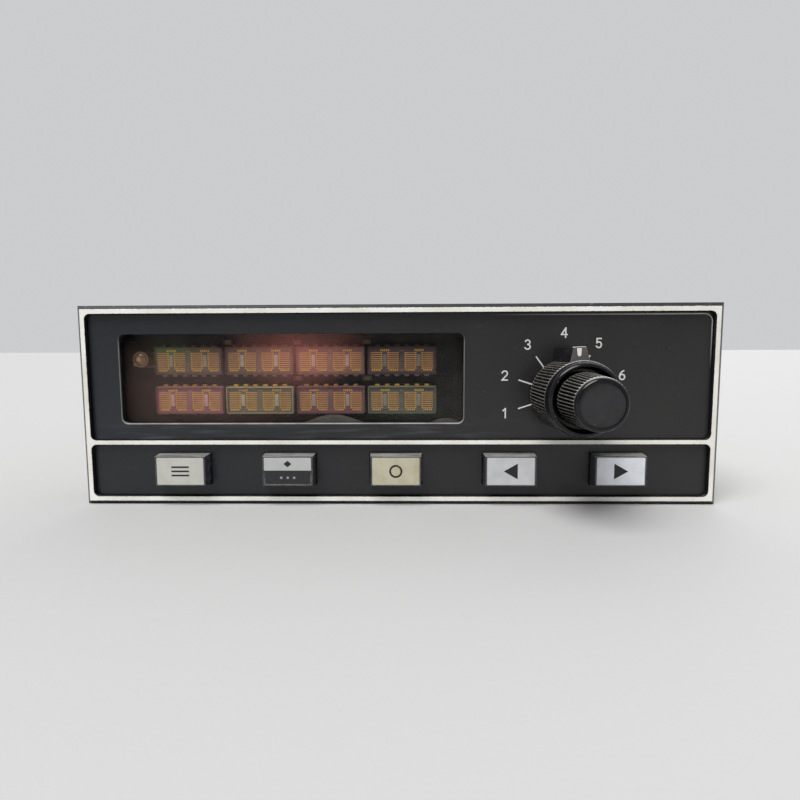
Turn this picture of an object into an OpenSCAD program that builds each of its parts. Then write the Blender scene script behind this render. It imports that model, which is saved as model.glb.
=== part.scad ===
// Panel-mounted long-range navigation receiver: bezel, lit dot displays, five keys,
// a concentric selector and a sheet-metal chassis that slides into an avionics stack.
// Millimetres. +X to the pilot's right, +Y into the panel, +Z up.
// The origin is the middle of the bezel's back face, which seats on the panel.

/* [Bezel] */
// Width of the bezel
bezel_w = 158.75; // [150:0.25:165]
// Height of the bezel
bezel_h = 50.05; // [50:0.05:51]
// Depth of the bezel in front of the panel
bezel_d = 12; // [12:0.1:12.5]
// Size of the chamfer round the front
chamfer = 1; // [0.5:0.05:1.2]
// Width of the bare rim round each recess
rim_w = 1.03; // [0.9:0.01:1.2]
// Height of the top recess
top_recess_h = 31.63; // [31.3:0.01:31.8]
// Height of the bottom recess
low_recess_h = 13.34; // [13:0.01:13.5]
// Corner radius of the recesses
recess_r = 1.4; // [0.5:0.1:2]

/* [Faceplates] */
// How far the faceplates sit behind the rim
plate_set = 1.3; // [1:0.1:1.5]
// Thickness of the faceplates
plate_t = 1.6; // [1.2:0.1:1.6]
// Gap round each faceplate
plate_gap = 0.15; // [0.05:0.05:0.3]

/* [Display] */
// Width of the window opening
window_w = 86.2; // [84:0.1:88]
// Height of the window opening
window_h = 22.45; // [21:0.05:23]
// Middle of the window, across
window_x = -26.6; // [-27:0.1:-26]
// Middle of the window, up
window_z = 6.72; // [6:0.01:7]
// Width of one four-character display
module_w = 17.7; // [17:0.1:17.9]
// Height of one display
module_h = 7.24; // [7:0.01:7.6]
// Spacing of the displays across
module_pitch = 18.3; // [18.1:0.1:18.5]
// Spacing of the two rows
row_pitch = 10.16; // [9.8:0.01:10.4]
// Middle of the first display, across
module_x0 = -53.8; // [-54:0.1:-53]
// Middle of the lower row, up
module_z0 = 1.05; // [0.9:0.01:1.2]

/* [Keys] */
// Width of a key at its base
key_w = 13; // [12:0.1:13.2]
// Height of a key at its base
key_h = 7.9; // [7:0.1:8]
// Taper of each side of a key
key_taper = 0.28; // [0.1:0.01:0.4]
// How far a key stands out of its faceplate
key_out = 3.5; // [3:0.1:4]
// Travel of a key
key_travel = 0.8; // [0.5:0.1:0.9]
// Middle of the keys, up
key_z = -16; // [-16.2:0.1:-15.9]

/* [Selector] */
// Axis of the knobs, across
knob_x = 41.55; // [40:0.05:43]
// Axis of the knobs, up
knob_z = 2.7; // [2.5:0.1:3]
// Radius of the outer knob
outer_r = 8.7; // [8.4:0.1:9]
// Radius of the inner knob at its back
inner_r = 6.2; // [6:0.05:6.5]
// Radius of the inner knob at its front
inner_front_r = 5.66; // [5.5:0.01:6]
// Flutes round the outer knob
outer_flutes = 68; // [40:1:90]
// Flutes round the inner knob
inner_flutes = 48; // [30:1:70]
// Direction of the pointer at rest
pointer_angle = 92; // [88:1:94]

/* [Chassis] */
// Depth of the chassis behind the panel
chassis_d = 254; // [250:1:280]
// Width of the folded tray
tray_w = 154; // [154:0.1:155]
// Height of the folded tray's sides
tray_h = 45.9; // [45.5:0.1:46]
// Thickness of the tray's sheet
sheet = 1.2; // [1:0.1:1.5]
// Thickness of the cover's sheet
cover_t = 1; // [0.8:0.1:1]
// Distance between the two holes in each side
side_pitch = 120; // [100:5:140]

/* [Hidden] */
$fn = 48;
DISPLAYS = 8;
KEYS = ["page", "message", "enter", "previous", "next"];
KEY_X = [-54, -27.2, -0.4, 27.9, 54.7];

over = 1;                 // how far a cutter runs past a face
fit_gap = 0.05;           // radial gap of a screw or pin in its hole
run_gap = 0.05;           // radial gap of a turning shaft

// Planes across the bezel, from the front
rim_y = -bezel_d;
plate_y = rim_y + plate_set;
plate_back = plate_y + plate_t;
board_t = 1.6;
rebate = 0.5;                // how far the chassis sinks into the bezel's back
rebate_gap = 0.15;
board_back = -rebate - 0.1;
board_y = board_back - board_t;

// Recesses and the cavities behind them
recess_w = bezel_w - 2 * (chamfer + rim_w);
top_recess_top = bezel_h / 2 - chamfer - rim_w;
top_recess_z = top_recess_top - top_recess_h / 2;
low_recess_bottom = -bezel_h / 2 + chamfer + rim_w;
low_recess_z = low_recess_bottom + low_recess_h / 2;
cavity_w = 149;
top_cavity = [-6.1, 20.4];
low_cavity = [-21.6, -10.9];
boss_w = 4.3;
boss_y = -7.5;
bezel_screw_x = 72.4;
bezel_screw_z = 18.6;
web_z = (top_cavity[0] + low_cavity[1]) / 2;
board_screw_x = [-60, -20, 20, 60];

// Display
filter_t = 1.2;
filter_lap = 1.3;
module_front = plate_back + filter_t + 0.4;
module_t = 3.3;
module_back = module_front + module_t;
lid_t = 0.6;
lid_edge = 0.25;
pins = 6;
pin_pitch = 2.54;
pin_w = 0.6;
pin_t = 1.4;
pin_out = 0.45;
window_r = 1.6;
board_w = 139.8;
board_z = [-20.3, 19.9];
board_wing_w = 148.4;
board_wing_z = [-16.1, 16.1];
selector_room = 0.4;
socket_w = 15.6;
socket_h = 1.4;
socket_z = 3.1;
photocell_x = -66.2;
photocell_z = 11.6;
photocell_r = 2.25;
photocell_dome = 0.75;
photocell_rim = 0.5;

// Keys
key_front = plate_y - key_out;
key_gap = 0.25;
key_hole_r = 0.3;
flange_r = 0.6;
flange_lap = 0.5;
flange_y = plate_back + 0.3;
flange_t = 0.8;
stem_r = 1.7;
plunger_r = 1.72;
plunger_gap = 0.08;
plunger_l = 2.3;
switch_w = 6.2;
switch_y = -5.2;
switch_bore = 2;
plunger_y = -6.5;
legend_w = 11.7;
legend_h = 6.85;
legend_t = 0.5;
legend_gap = 0.05;
legend_r = 0.25;

// Selector
outer_back = plate_y - 0.6;
outer_front = rim_y - 15.3;
flute_front = outer_front + 2.1;
flute_depth = 0.4;
nose_cut = 0.1;
nose_r = 7.8;
pointer_front = rim_y - 11;
pointer_top = 11.7;
pointer_w = [5.4, 3.2];
shell_r = 7.3;
shell_depth = 3.4;
bushing_r = 4.5;
bushing_front = plate_y - 2.4;
nut_af = 11;
nut_t = 2;
nut_room_r = 6.9;
nut_room_y = bushing_front - 0.5;
outer_shaft_r = 3;
inner_shaft_r = 1.6;
switch_body_r = 7.15;
switch_flange_r = 6.5;
switch_flange_t = 1;
switch_back = 4;
encoder_back = 18;
inner_back = rim_y - 14.4;
inner_flute_front = rim_y - 24.5;
inner_front = rim_y - 25.5;
inner_hub_r = 4.5;
cap_r = 4.7;
cap_t = 0.8;
cap_set = 0.3;
set_screw_r = 1;
outer_set_y = -19;
inner_set_y = -31;

// Chassis
tray_bottom = -23.5;
tray_top = tray_bottom + tray_h;
side_in = tray_w / 2 - sheet;
tab_w = 6.8;
tab_back = sheet - rebate;
foot_y = 0.1;                // where the underside begins, clear of the bezel
foot_step = 0.3;
cover_w = tray_w + 2 * cover_t;
cover_lip = 8;
vent = [36, 3];
vent_pitch = [44, 7];
vent_y = 196;
rear_t = 2;
rear_y = chassis_d - rear_t;
cover_y = 0.3 - rebate;
panel_gap = [0.2, 0.1];
side_hole_r = 1.75;
side_nut_r = 3.2;
side_nut_t = 2.8;
side_hole_y = chassis_d / 2 - 7;
side_hole_z = -2;
screw_r = 1.4;
head_r = 2.6;
head_t = 1.2;
screw_l = 6;
small_screw_r = 0.9;
small_head_r = 1.8;
small_head_t = 1;
small_screw_l = 4.5;
cover_screw_y = [30, 127, 224];
cover_screw_z = 18.4;
rear_screw_z = 15;
dsub_x = 32;
dsub_z = 2;
dsub_pitch = 47.04;
dsub_shell = [38.9, 8.3];
dsub_flange = [53, 12.5];
dsub_pin_pitch = 2.77;
dsub_flange_t = 1;
dsub_out = 6.8;
dsub_in = 11;
dsub_hole_r = 0.55;
dsub_hole_l = 5;
dsub_row_z = 1.42;
dsub_slope = 10;
dsub_nose = 1;
jack_r = 1.42;
jack_af = 5;
jack_l = 5;
jack_stud_r = 1.52;
jack_stud_l = 7;
coax_x = -12;
coax_z = 2;
coax_r = 5.55;
coax_l = 9;
coax_nut_t = 2.5;
coax_nut_af = 14;
coax_in = 6;
coax_bore_r = 4.1;
coax_core_r = 2.3;
coax_contact_r = 0.7;
coax_bore_l = 5.5;
coax_core_l = 4;
coax_end = chassis_d + coax_nut_t + coax_l;
sink_x = -50;
sink_w = 36;
sink_h = 34;
sink_base = 3;
fin_l = 9;
fins = 9;
fin_t = 1.4;
regulator_pitch = 14;
regulator_w = 10;
regulator_h = 16;
regulator_t = 4.5;
regulator_hole = [4.8, 1.8];
tab_t = 1.3;

// Boards
main_w = 140;
main_y = [12, 238];
main_z = -17.5;
main_hole_x = 64;
main_hole_y = [20, 125, 230];
standoff_r = 2.5;
receiver_x = [-68, 12];
receiver_y = [80, 236];
receiver_z = 4;
spacer_x = [-62, 6];
spacer_y = [88, 220];
can_x = [-58, -4];
can_y = [96, 170];
can_h = 12;
can_t = 0.5;
battery_x = -60;
battery_y = 45;
battery_l = 26;
battery_r = 7.5;
battery_lift = 0.5;
battery_button = [3, 1.2];
battery_pad = [5, 4];
chip_x = [28, 50];
chip_y = [45, 80, 115, 150];
chip_l = 26;
chip_w = 13.6;
chip_t = 3.7;
chip_lift = 0.5;
chip_pins = 10;
chip_pin = 1;
capacitor_x = [30, 48];
capacitor_y = [185, 205];
capacitor_r = 7;
capacitor_h = 25;
ribbon_w = 40;
ribbon_t = 0.4;
ribbon_y = 15;
ribbon_z = -14;

function steps(n, pitch) = [for (i = [0:n - 1]) (i - (n - 1) / 2) * pitch];

// A box between two corners
module block(a, b) {
  translate(a) cube(b - a);
}

// A rounded rectangle in the plane
module rounded(w, h, r) {
  square([w - 2 * r, h], center = true);
  square([w, h - 2 * r], center = true);
  for (x = [-1, 1]) {
    for (y = [-1, 1]) {
      translate([x * (w / 2 - r), y * (h / 2 - r)]) circle(r);
    }
  }
}

// A round-ended slot in the plane
module slot(l, w) {
  square([l - w, w], center = true);
  for (x = [-1, 1]) {
    translate([x * (l - w) / 2, 0]) circle(w / 2);
  }
}

// A flat drawing stood up to face the front, from y0 back to y1
module facing(x, z, y0, y1) {
  translate([x, y1, z]) rotate([90, 0, 0]) linear_extrude(y1 - y0) children();
}

// A rounded slab that faces the front
module slab(x, z, w, h, y0, y1, r) {
  facing(x, z, y0, y1) rounded(w, h, r);
}

// A round bar along Y
module bar(x, z, r, y0, y1) {
  translate([x, y1, z]) rotate([90, 0, 0]) cylinder(h = y1 - y0, r = r);
}

// A round bar along Z
module post(x, y, r, z0, z1) {
  translate([x, y, z0]) cylinder(h = z1 - z0, r = r);
}

// A block with its four front edges cut at 45 degrees
module front_chamfered(w, h, y0, y1, c) {
  intersection() {
    linear_extrude(h, center = true) sloped(w, y0, y1, c, c);
    rotate([0, 90, 0]) linear_extrude(w, center = true) sloped(h, y0, y1, c, c);
  }
}

// Outline of a slice whose front corners slope in by cut over a length run
module sloped(w, y0, y1, cut, run) {
  polygon([
    [-w / 2, y1], [w / 2, y1], [w / 2, y0 + run],
    [w / 2 - cut, y0], [-w / 2 + cut, y0], [-w / 2, y0 + run]
  ]);
}

// Outline of a fluted knob
module fluted(n, r, depth) {
  polygon([
    for (i = [0:n - 1])
      for (s = [[0, r], [0.3, r], [0.5, r - depth], [0.8, r - depth]])
        [s[1] * cos((i + s[0]) * 360 / n), s[1] * sin((i + s[0]) * 360 / n)]
  ]);
}

// A pan-head screw along +Y from its head at y, or along -Y with turn 180
module screw(x, y, z, turn, r, l, hr, ht) {
  translate([x, y, z]) rotate(turn) union() {
    cylinder(h = l, r = r);
    difference() {
      translate([0, 0, -ht]) cylinder(h = ht, r = hr);
      for (a = [0, 90]) {
        rotate(a) translate([0, 0, -ht]) cube([hr * 1.2, hr * 0.3, ht], center = true);
      }
    }
  }
}

module bezel() {
  color([0.07, 0.07, 0.08]) difference() {
    union() {
      difference() {
        front_chamfered(bezel_w, bezel_h, rim_y, 0, chamfer);
        slab(0, top_recess_z, recess_w, top_recess_h, rim_y - over, plate_back, recess_r);
        slab(0, low_recess_z, recess_w, low_recess_h, rim_y - over, plate_back, recess_r);
        block([-cavity_w / 2, plate_back - over, top_cavity[0]],
              [cavity_w / 2, over, top_cavity[1]]);
        block([-cavity_w / 2, plate_back - over, low_cavity[0]],
              [cavity_w / 2, over, low_cavity[1]]);
        block([-cavity_w / 2, board_y, low_cavity[0]], [cavity_w / 2, over, top_cavity[1]]);
      }
      for (s = [0, 1]) {
        mirror([s, 0, 0]) {
          block([cavity_w / 2 - boss_w, boss_y, bezel_screw_z - boss_w / 2],
                [cavity_w / 2 + over, 0, top_cavity[1] + over]);
          block([cavity_w / 2 - boss_w, boss_y, low_cavity[0] - over],
                [cavity_w / 2 + over, 0, -bezel_screw_z + boss_w / 2]);
        }
      }
    }
    block([-cover_w / 2 - rebate_gap, -rebate, tray_bottom - rebate_gap],
          [cover_w / 2 + rebate_gap, over, tray_top + cover_t + rebate_gap]);
    for (x = [-1, 1]) {
      for (z = [-1, 1]) {
        bar(x * bezel_screw_x, z * bezel_screw_z, screw_r + fit_gap, -screw_l, over);
      }
    }
    for (x = board_screw_x) {
      bar(x, web_z, small_screw_r + fit_gap, -screw_l, board_back);
    }
  }
}

module upper_faceplate() {
  color([0.17, 0.17, 0.18]) difference() {
    slab(0, top_recess_z, recess_w - 2 * plate_gap, top_recess_h - 2 * plate_gap,
         plate_y, plate_back, recess_r - plate_gap);
    slab(window_x, window_z, window_w, window_h, plate_y - over, plate_back + over, window_r);
    bar(knob_x, knob_z, bushing_r + fit_gap, plate_y - over, plate_back + over);
  }
}

module lower_faceplate() {
  color([0.17, 0.17, 0.18]) difference() {
    slab(0, low_recess_z, recess_w - 2 * plate_gap, low_recess_h - 2 * plate_gap,
         plate_y, plate_back, recess_r - plate_gap);
    for (x = KEY_X) {
      slab(x, key_z, key_w + 2 * key_gap, key_h + 2 * key_gap,
           plate_y - over, plate_back + over, key_hole_r);
    }
  }
}

module window_filter() {
  color([0.35, 0.1, 0.08, 0.5])
    slab(window_x, window_z, window_w + 2 * filter_lap, window_h + 2 * filter_lap,
         plate_back, plate_back + filter_t, 1);
}

module front_board() {
  color([0.08, 0.25, 0.12]) difference() {
    union() {
      block([-board_w / 2, board_y, board_z[0]], [board_w / 2, board_back, board_z[1]]);
      block([-board_wing_w / 2, board_y, board_wing_z[0]],
            [board_wing_w / 2, board_back, board_wing_z[1]]);
    }
    bar(knob_x, knob_z, switch_body_r + selector_room, board_y - over, board_back + over);
    for (x = board_screw_x) {
      bar(x, web_z, small_screw_r + fit_gap, board_y - over, board_back + over);
    }
  }
}

// One four-character display: ceramic tray, clear lid and six pins along each long side
module display_module(i) {
  x = module_x0 + ((i - 1) % 4) * module_pitch;
  z = module_z0 + (i <= 4 ? row_pitch : 0);
  color([0.3, 0.2, 0.16]) union() {
    slab(x, z, module_w, module_h, module_front + lid_t, module_back, lid_edge);
    slab(x, z, module_w - 2 * lid_edge, module_h - 2 * lid_edge,
         module_front, module_front + lid_t, 2 * lid_edge);
    for (p = steps(pins, pin_pitch)) {
      block([x + p - pin_w / 2, module_back - pin_t, z - module_h / 2 - pin_out],
            [x + p + pin_w / 2, module_back, z + module_h / 2 + pin_out]);
    }
  }
}

// Strips on the board that the display pins stand on
module display_sockets() {
  color([0.05, 0.05, 0.05]) {
    for (i = [0:DISPLAYS - 1]) {
      for (s = [-1, 1]) {
        x = module_x0 + (i % 4) * module_pitch;
        z = module_z0 + floor(i / 4) * row_pitch + s * socket_z;
        block([x - socket_w / 2, module_back, z - socket_h / 2],
              [x + socket_w / 2, board_y, z + socket_h / 2]);
      }
    }
  }
}

// Light sensor that dims the display at night
module photocell() {
  color([0.55, 0.4, 0.2]) union() {
    bar(photocell_x, photocell_z, photocell_r, module_front + photocell_rim, board_y);
    bar(photocell_x, photocell_z, photocell_r * photocell_dome, module_front, board_y);
  }
}

module key_switches() {
  color([0.1, 0.1, 0.1]) {
    for (x = KEY_X) {
      difference() {
        slab(x, key_z, switch_w, switch_w, switch_y, board_y, 0.5);
        bar(x, key_z, plunger_r + plunger_gap, switch_y - over, switch_y + switch_bore);
      }
    }
  }
}

// A tapered key with a pocket in its front, a retaining flange and a stem
module key_cap(x) {
  color([0.06, 0.06, 0.07]) difference() {
    union() {
      translate([x, 0, key_z]) intersection() {
        linear_extrude(key_h, center = true)
          sloped(key_w, key_front, flange_y, key_taper, key_out);
        rotate([0, 90, 0]) linear_extrude(key_w, center = true)
          sloped(key_h, key_front, flange_y, key_taper, key_out);
      }
      slab(x, key_z, key_w + 2 * flange_lap, key_h + 2 * flange_lap,
           flange_y, flange_y + flange_t, flange_r);
      bar(x, key_z, stem_r, flange_y, plunger_y);
    }
    slab(x, key_z, legend_w + 2 * legend_gap, legend_h + 2 * legend_gap,
         key_front - over, key_front + legend_t, legend_r + legend_gap);
  }
}

module key_legend(x) {
  color([0.8, 0.8, 0.75])
    slab(x, key_z, legend_w, legend_h, key_front, key_front + legend_t, legend_r);
}

module key_plunger(x) {
  color([0.75, 0.75, 0.7]) bar(x, key_z, plunger_r, plunger_y, plunger_y + plunger_l);
}

// Turns what follows so that +Z runs out of the panel along the knob axis
module on_axis(y) {
  translate([knob_x, y, knob_z]) rotate([90, 0, 0]) children();
}

module outer_knob() {
  color([0.09, 0.09, 0.1]) difference() {
    union() {
      on_axis(outer_back) linear_extrude(outer_back - flute_front)
        fluted(outer_flutes, outer_r, flute_depth);
      on_axis(flute_front + flute_depth) cylinder(
        h = flute_front + flute_depth - outer_front,
        r1 = outer_r - flute_depth - nose_cut, r2 = nose_r);
      on_axis(outer_back) linear_extrude(outer_back - pointer_front)
        rotate(pointer_angle - 90) polygon([
          [-pointer_w[0] / 2, outer_r - 2], [pointer_w[0] / 2, outer_r - 2],
          [pointer_w[0] / 2, outer_r], [pointer_w[1] / 2, pointer_top],
          [-pointer_w[1] / 2, pointer_top], [-pointer_w[0] / 2, outer_r]
        ]);
    }
    bar(knob_x, knob_z, outer_shaft_r + 0.01, outer_front - over, 0);
    bar(knob_x, knob_z, nut_room_r, nut_room_y, 0);
    bar(knob_x, knob_z, shell_r, outer_front - over, outer_front + shell_depth);
    translate([knob_x, outer_set_y, knob_z - outer_r - over])
      cylinder(h = outer_r, r = set_screw_r + fit_gap);
  }
}

module inner_knob() {
  color([0.09, 0.09, 0.1]) difference() {
    union() {
      on_axis(inner_back) linear_extrude(inner_back - inner_flute_front,
                                         scale = inner_front_r / inner_r)
        fluted(inner_flutes, inner_r, flute_depth);
      on_axis(inner_flute_front + flute_depth) cylinder(
        h = inner_flute_front + flute_depth - inner_front,
        r = inner_front_r - flute_depth - nose_cut);
      bar(knob_x, knob_z, inner_hub_r, inner_back - over, outer_front + shell_depth - 0.5);
    }
    bar(knob_x, knob_z, inner_shaft_r + 0.01, inner_front + 1.6, 0);
    bar(knob_x, knob_z, cap_r + fit_gap, inner_front - over, inner_front + cap_set + cap_t);
    translate([knob_x, inner_set_y, knob_z - inner_r - over])
      cylinder(h = inner_r, r = set_screw_r + fit_gap);
  }
}

module inner_knob_cap() {
  color([0.2, 0.2, 0.2])
    bar(knob_x, knob_z, cap_r, inner_front + cap_set, inner_front + cap_set + cap_t);
}

// A socket set screw that bears on a shaft from below
module set_screw(y, shaft_r, l) {
  color([0.2, 0.2, 0.22]) translate([knob_x, y, knob_z - shaft_r - l]) difference() {
    cylinder(h = l, r = set_screw_r);
    translate([0, 0, -over]) cylinder(h = 1.2 + over, r = 0.55, $fn = 6);
  }
}

module outer_knob_set_screw() {
  set_screw(outer_set_y, outer_shaft_r, 4.6);
}

module inner_knob_set_screw() {
  set_screw(inner_set_y, inner_shaft_r, 3.6);
}

module outer_shaft() {
  color([0.75, 0.75, 0.77]) difference() {
    bar(knob_x, knob_z, outer_shaft_r, outer_front + shell_depth, switch_back - 2);
    bar(knob_x, knob_z, inner_shaft_r + run_gap, outer_front, switch_back);
  }
}

module inner_shaft() {
  color([0.75, 0.75, 0.77])
    bar(knob_x, knob_z, inner_shaft_r, inner_front + 1.7, encoder_back - 2);
}

module selector_bushing() {
  color([0.72, 0.72, 0.7]) difference() {
    union() {
      bar(knob_x, knob_z, bushing_r, bushing_front, plate_back + switch_flange_t);
      bar(knob_x, knob_z, switch_flange_r, plate_back, plate_back + switch_flange_t);
    }
    bar(knob_x, knob_z, outer_shaft_r + run_gap, bushing_front - over, 0);
  }
}

module selector_nut() {
  color([0.72, 0.72, 0.7]) difference() {
    on_axis(plate_y) cylinder(h = nut_t, r = nut_af / sqrt(3), $fn = 6);
    bar(knob_x, knob_z, bushing_r + fit_gap, plate_y - nut_t - over, plate_y + over);
  }
}

module rotary_switch() {
  color([0.15, 0.15, 0.3]) difference() {
    bar(knob_x, knob_z, switch_body_r, plate_back + switch_flange_t, switch_back);
    bar(knob_x, knob_z, outer_shaft_r + run_gap, -bezel_d, switch_back - 1.7);
    bar(knob_x, knob_z, inner_shaft_r + run_gap, -bezel_d, switch_back + over);
  }
}

module encoder() {
  color([0.1, 0.1, 0.1]) difference() {
    bar(knob_x, knob_z, switch_body_r, switch_back, encoder_back);
    bar(knob_x, knob_z, inner_shaft_r + run_gap, switch_back - over, encoder_back - 1.7);
  }
}

module chassis_tray() {
  color([0.75, 0.72, 0.6]) difference() {
    union() {
      block([-tray_w / 2, -rebate, tray_bottom], [tray_w / 2, chassis_d, tray_bottom + sheet]);
      for (s = [0, 1]) {
        mirror([s, 0, 0]) {
          block([side_in, -rebate, tray_bottom], [tray_w / 2, chassis_d, tray_top]);
          block([side_in - tab_w, -rebate, tray_bottom], [tray_w / 2, tab_back, tray_top]);
          block([side_in - tab_w, rear_y - sheet, tray_bottom], [tray_w / 2, rear_y, tray_top]);
          for (y = steps(2, side_pitch)) {
            translate([side_in - side_nut_t, side_hole_y + y, side_hole_z])
              rotate([0, 90, 0]) cylinder(h = side_nut_t + 0.5, r = side_nut_r);
          }
        }
      }
    }
    block([-tray_w / 2 - over, -rebate - over, tray_bottom - over],
          [tray_w / 2 + over, foot_y, tray_bottom + foot_step]);
    for (x = [-1, 1]) {
      for (z = [-1, 1]) {
        bar(x * bezel_screw_x, z * bezel_screw_z, screw_r + fit_gap,
            -rebate - over, tab_back + over);
        bar(x * bezel_screw_x, z * rear_screw_z, screw_r + fit_gap,
            rear_y - sheet - over, rear_y + over);
      }
    }
    for (y = steps(2, side_pitch)) {
      translate([-tray_w / 2 - over, side_hole_y + y, side_hole_z])
        rotate([0, 90, 0]) cylinder(h = tray_w + 2 * over, r = side_hole_r);
    }
    for (y = cover_screw_y) {
      translate([-tray_w / 2 - over, y, cover_screw_z])
        rotate([0, 90, 0]) cylinder(h = tray_w + 2 * over, r = screw_r + fit_gap);
    }
  }
}

module top_cover() {
  color([0.75, 0.72, 0.6]) difference() {
    union() {
      block([-cover_w / 2, cover_y, tray_top], [cover_w / 2, chassis_d, tray_top + cover_t]);
      for (s = [0, 1]) {
        mirror([s, 0, 0])
          block([tray_w / 2, cover_y, tray_top - cover_lip],
                [cover_w / 2, chassis_d, tray_top + cover_t]);
      }
    }
    for (y = cover_screw_y) {
      translate([-cover_w / 2 - over, y, cover_screw_z])
        rotate([0, 90, 0]) cylinder(h = cover_w + 2 * over, r = screw_r + fit_gap);
    }
    for (x = steps(3, vent_pitch[0])) {
      for (y = steps(8, vent_pitch[1])) {
        translate([x, vent_y + y, tray_top - over]) linear_extrude(cover_t + 2 * over)
          slot(vent[0], vent[1]);
      }
    }
  }
}

module rear_panel() {
  color([0.75, 0.72, 0.6]) difference() {
    block([-side_in + panel_gap[0], rear_y, tray_bottom + sheet + panel_gap[1]],
          [side_in - panel_gap[0], chassis_d, tray_top - panel_gap[1]]);
    facing(dsub_x, dsub_z, rear_y - over, chassis_d + over) dsub_outline(panel_gap[0]);
    for (x = steps(2, dsub_pitch)) {
      bar(dsub_x + x, dsub_z, jack_stud_r + fit_gap, rear_y - over, chassis_d + over);
    }
    bar(coax_x, coax_z, coax_r + fit_gap, rear_y - over, chassis_d + over);
    for (x = [-1, 1]) {
      for (z = [-1, 1]) {
        bar(x * bezel_screw_x, z * rear_screw_z, screw_r + fit_gap,
            rear_y - over, chassis_d + over);
      }
    }
  }
}

// The D-shaped shell outline, grown by g
module dsub_outline(g) {
  w = dsub_shell[0] / 2 + g;
  h = dsub_shell[1] / 2 + g;
  slope = dsub_shell[1] * tan(dsub_slope) / 2;
  top = w + slope - dsub_nose;
  foot = w - slope - dsub_nose;
  polygon([[-top, h], [top, h], [foot, -h], [-foot, -h]]);
}

module heat_sink() {
  color([0.06, 0.06, 0.07]) {
    union() {
      block([sink_x - sink_w / 2, chassis_d, -sink_h / 2],
            [sink_x + sink_w / 2, chassis_d + sink_base, sink_h / 2]);
      for (x = steps(fins, (sink_w - fin_t) / (fins - 1))) {
        block([sink_x + x - fin_t / 2, chassis_d, -sink_h / 2],
              [sink_x + x + fin_t / 2, chassis_d + sink_base + fin_l, sink_h / 2]);
      }
    }
  }
}

// Two regulators bolted flat to the inside of the rear panel
module power_regulators() {
  color([0.1, 0.1, 0.11]) {
    for (x = steps(2, regulator_pitch)) {
      difference() {
        translate([sink_x + x, rear_y, 0]) union() {
          block([-regulator_w / 2, -tab_t, -regulator_h / 2],
                [regulator_w / 2, 0, regulator_h / 2]);
          block([-regulator_w / 2, -regulator_t, -regulator_h / 2], [regulator_w / 2, 0, 1]);
          for (p = steps(3, pin_pitch)) {
            block([p - pin_w / 2, -tab_t - 1.2, -regulator_h / 2 - 4],
                  [p + pin_w / 2, -tab_t - 0.7, -regulator_h / 2]);
          }
        }
        bar(sink_x + x, regulator_hole[0], regulator_hole[1],
            rear_y - regulator_t, rear_y + over);
      }
    }
  }
}

// A 25-way socket with its flange on the outside of the rear panel
module rear_connector() {
  color([0.7, 0.7, 0.68]) difference() {
    union() {
      slab(dsub_x, dsub_z, dsub_flange[0], dsub_flange[1],
           chassis_d, chassis_d + dsub_flange_t, 1.5);
      facing(dsub_x, dsub_z, chassis_d - dsub_in, chassis_d + dsub_out) dsub_outline(0);
    }
    for (row = [0, 1]) {
      for (x = steps(13 - row, dsub_pin_pitch)) {
        bar(dsub_x + x, dsub_z + (1 - 2 * row) * dsub_row_z, dsub_hole_r,
            chassis_d + dsub_out - dsub_hole_l, chassis_d + dsub_out + over);
      }
    }
    for (x = steps(2, dsub_pitch)) {
      bar(dsub_x + x, dsub_z, jack_stud_r + fit_gap,
          chassis_d - over, chassis_d + dsub_flange_t + over);
    }
  }
}

// Hexagonal posts that take the cable plug's screws
module jack_screws() {
  color([0.7, 0.7, 0.7]) {
    for (x = steps(2, dsub_pitch)) {
      translate([dsub_x + x, chassis_d + dsub_flange_t, dsub_z]) rotate([-90, 0, 0])
        difference() {
          union() {
            cylinder(h = jack_l, r = jack_af / sqrt(3), $fn = 6);
            translate([0, 0, -jack_stud_l]) cylinder(h = jack_stud_l + over, r = jack_stud_r);
          }
          cylinder(h = jack_l + over, r = jack_r);
        }
    }
  }
}

// Threaded coaxial jack for the antenna lead
module antenna_connector() {
  color([0.78, 0.78, 0.76]) difference() {
    union() {
      bar(coax_x, coax_z, coax_r, rear_y - coax_in, coax_end);
      translate([coax_x, chassis_d, coax_z]) rotate([-90, 0, 0])
        cylinder(h = coax_nut_t, r = coax_nut_af / sqrt(3), $fn = 6);
    }
    difference() {
      bar(coax_x, coax_z, coax_bore_r, coax_end - coax_bore_l, coax_end + over);
      bar(coax_x, coax_z, coax_core_r, chassis_d, coax_end - coax_bore_l + coax_core_l);
    }
    bar(coax_x, coax_z, coax_contact_r, coax_end - coax_bore_l, coax_end + over);
  }
}

module main_board() {
  color([0.08, 0.3, 0.14]) difference() {
    block([-main_w / 2, main_y[0], main_z], [main_w / 2, main_y[1], main_z + board_t]);
    for (x = [-main_hole_x, main_hole_x]) {
      for (y = main_hole_y) {
        post(x, y, small_screw_r + fit_gap, main_z - over, main_z + board_t + over);
      }
    }
  }
}

module receiver_board() {
  color([0.08, 0.3, 0.14])
    block([receiver_x[0], receiver_y[0], receiver_z],
          [receiver_x[1], receiver_y[1], receiver_z + board_t]);
}

// A tinned can, open underneath, over the receiver's front end
module receiver_shield() {
  color([0.8, 0.8, 0.8]) difference() {
    block([can_x[0], can_y[0], receiver_z + board_t],
          [can_x[1], can_y[1], receiver_z + board_t + can_h]);
    block([can_x[0] + can_t, can_y[0] + can_t, receiver_z + board_t - over],
          [can_x[1] - can_t, can_y[1] - can_t, receiver_z + board_t + can_h - can_t]);
  }
}

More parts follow.
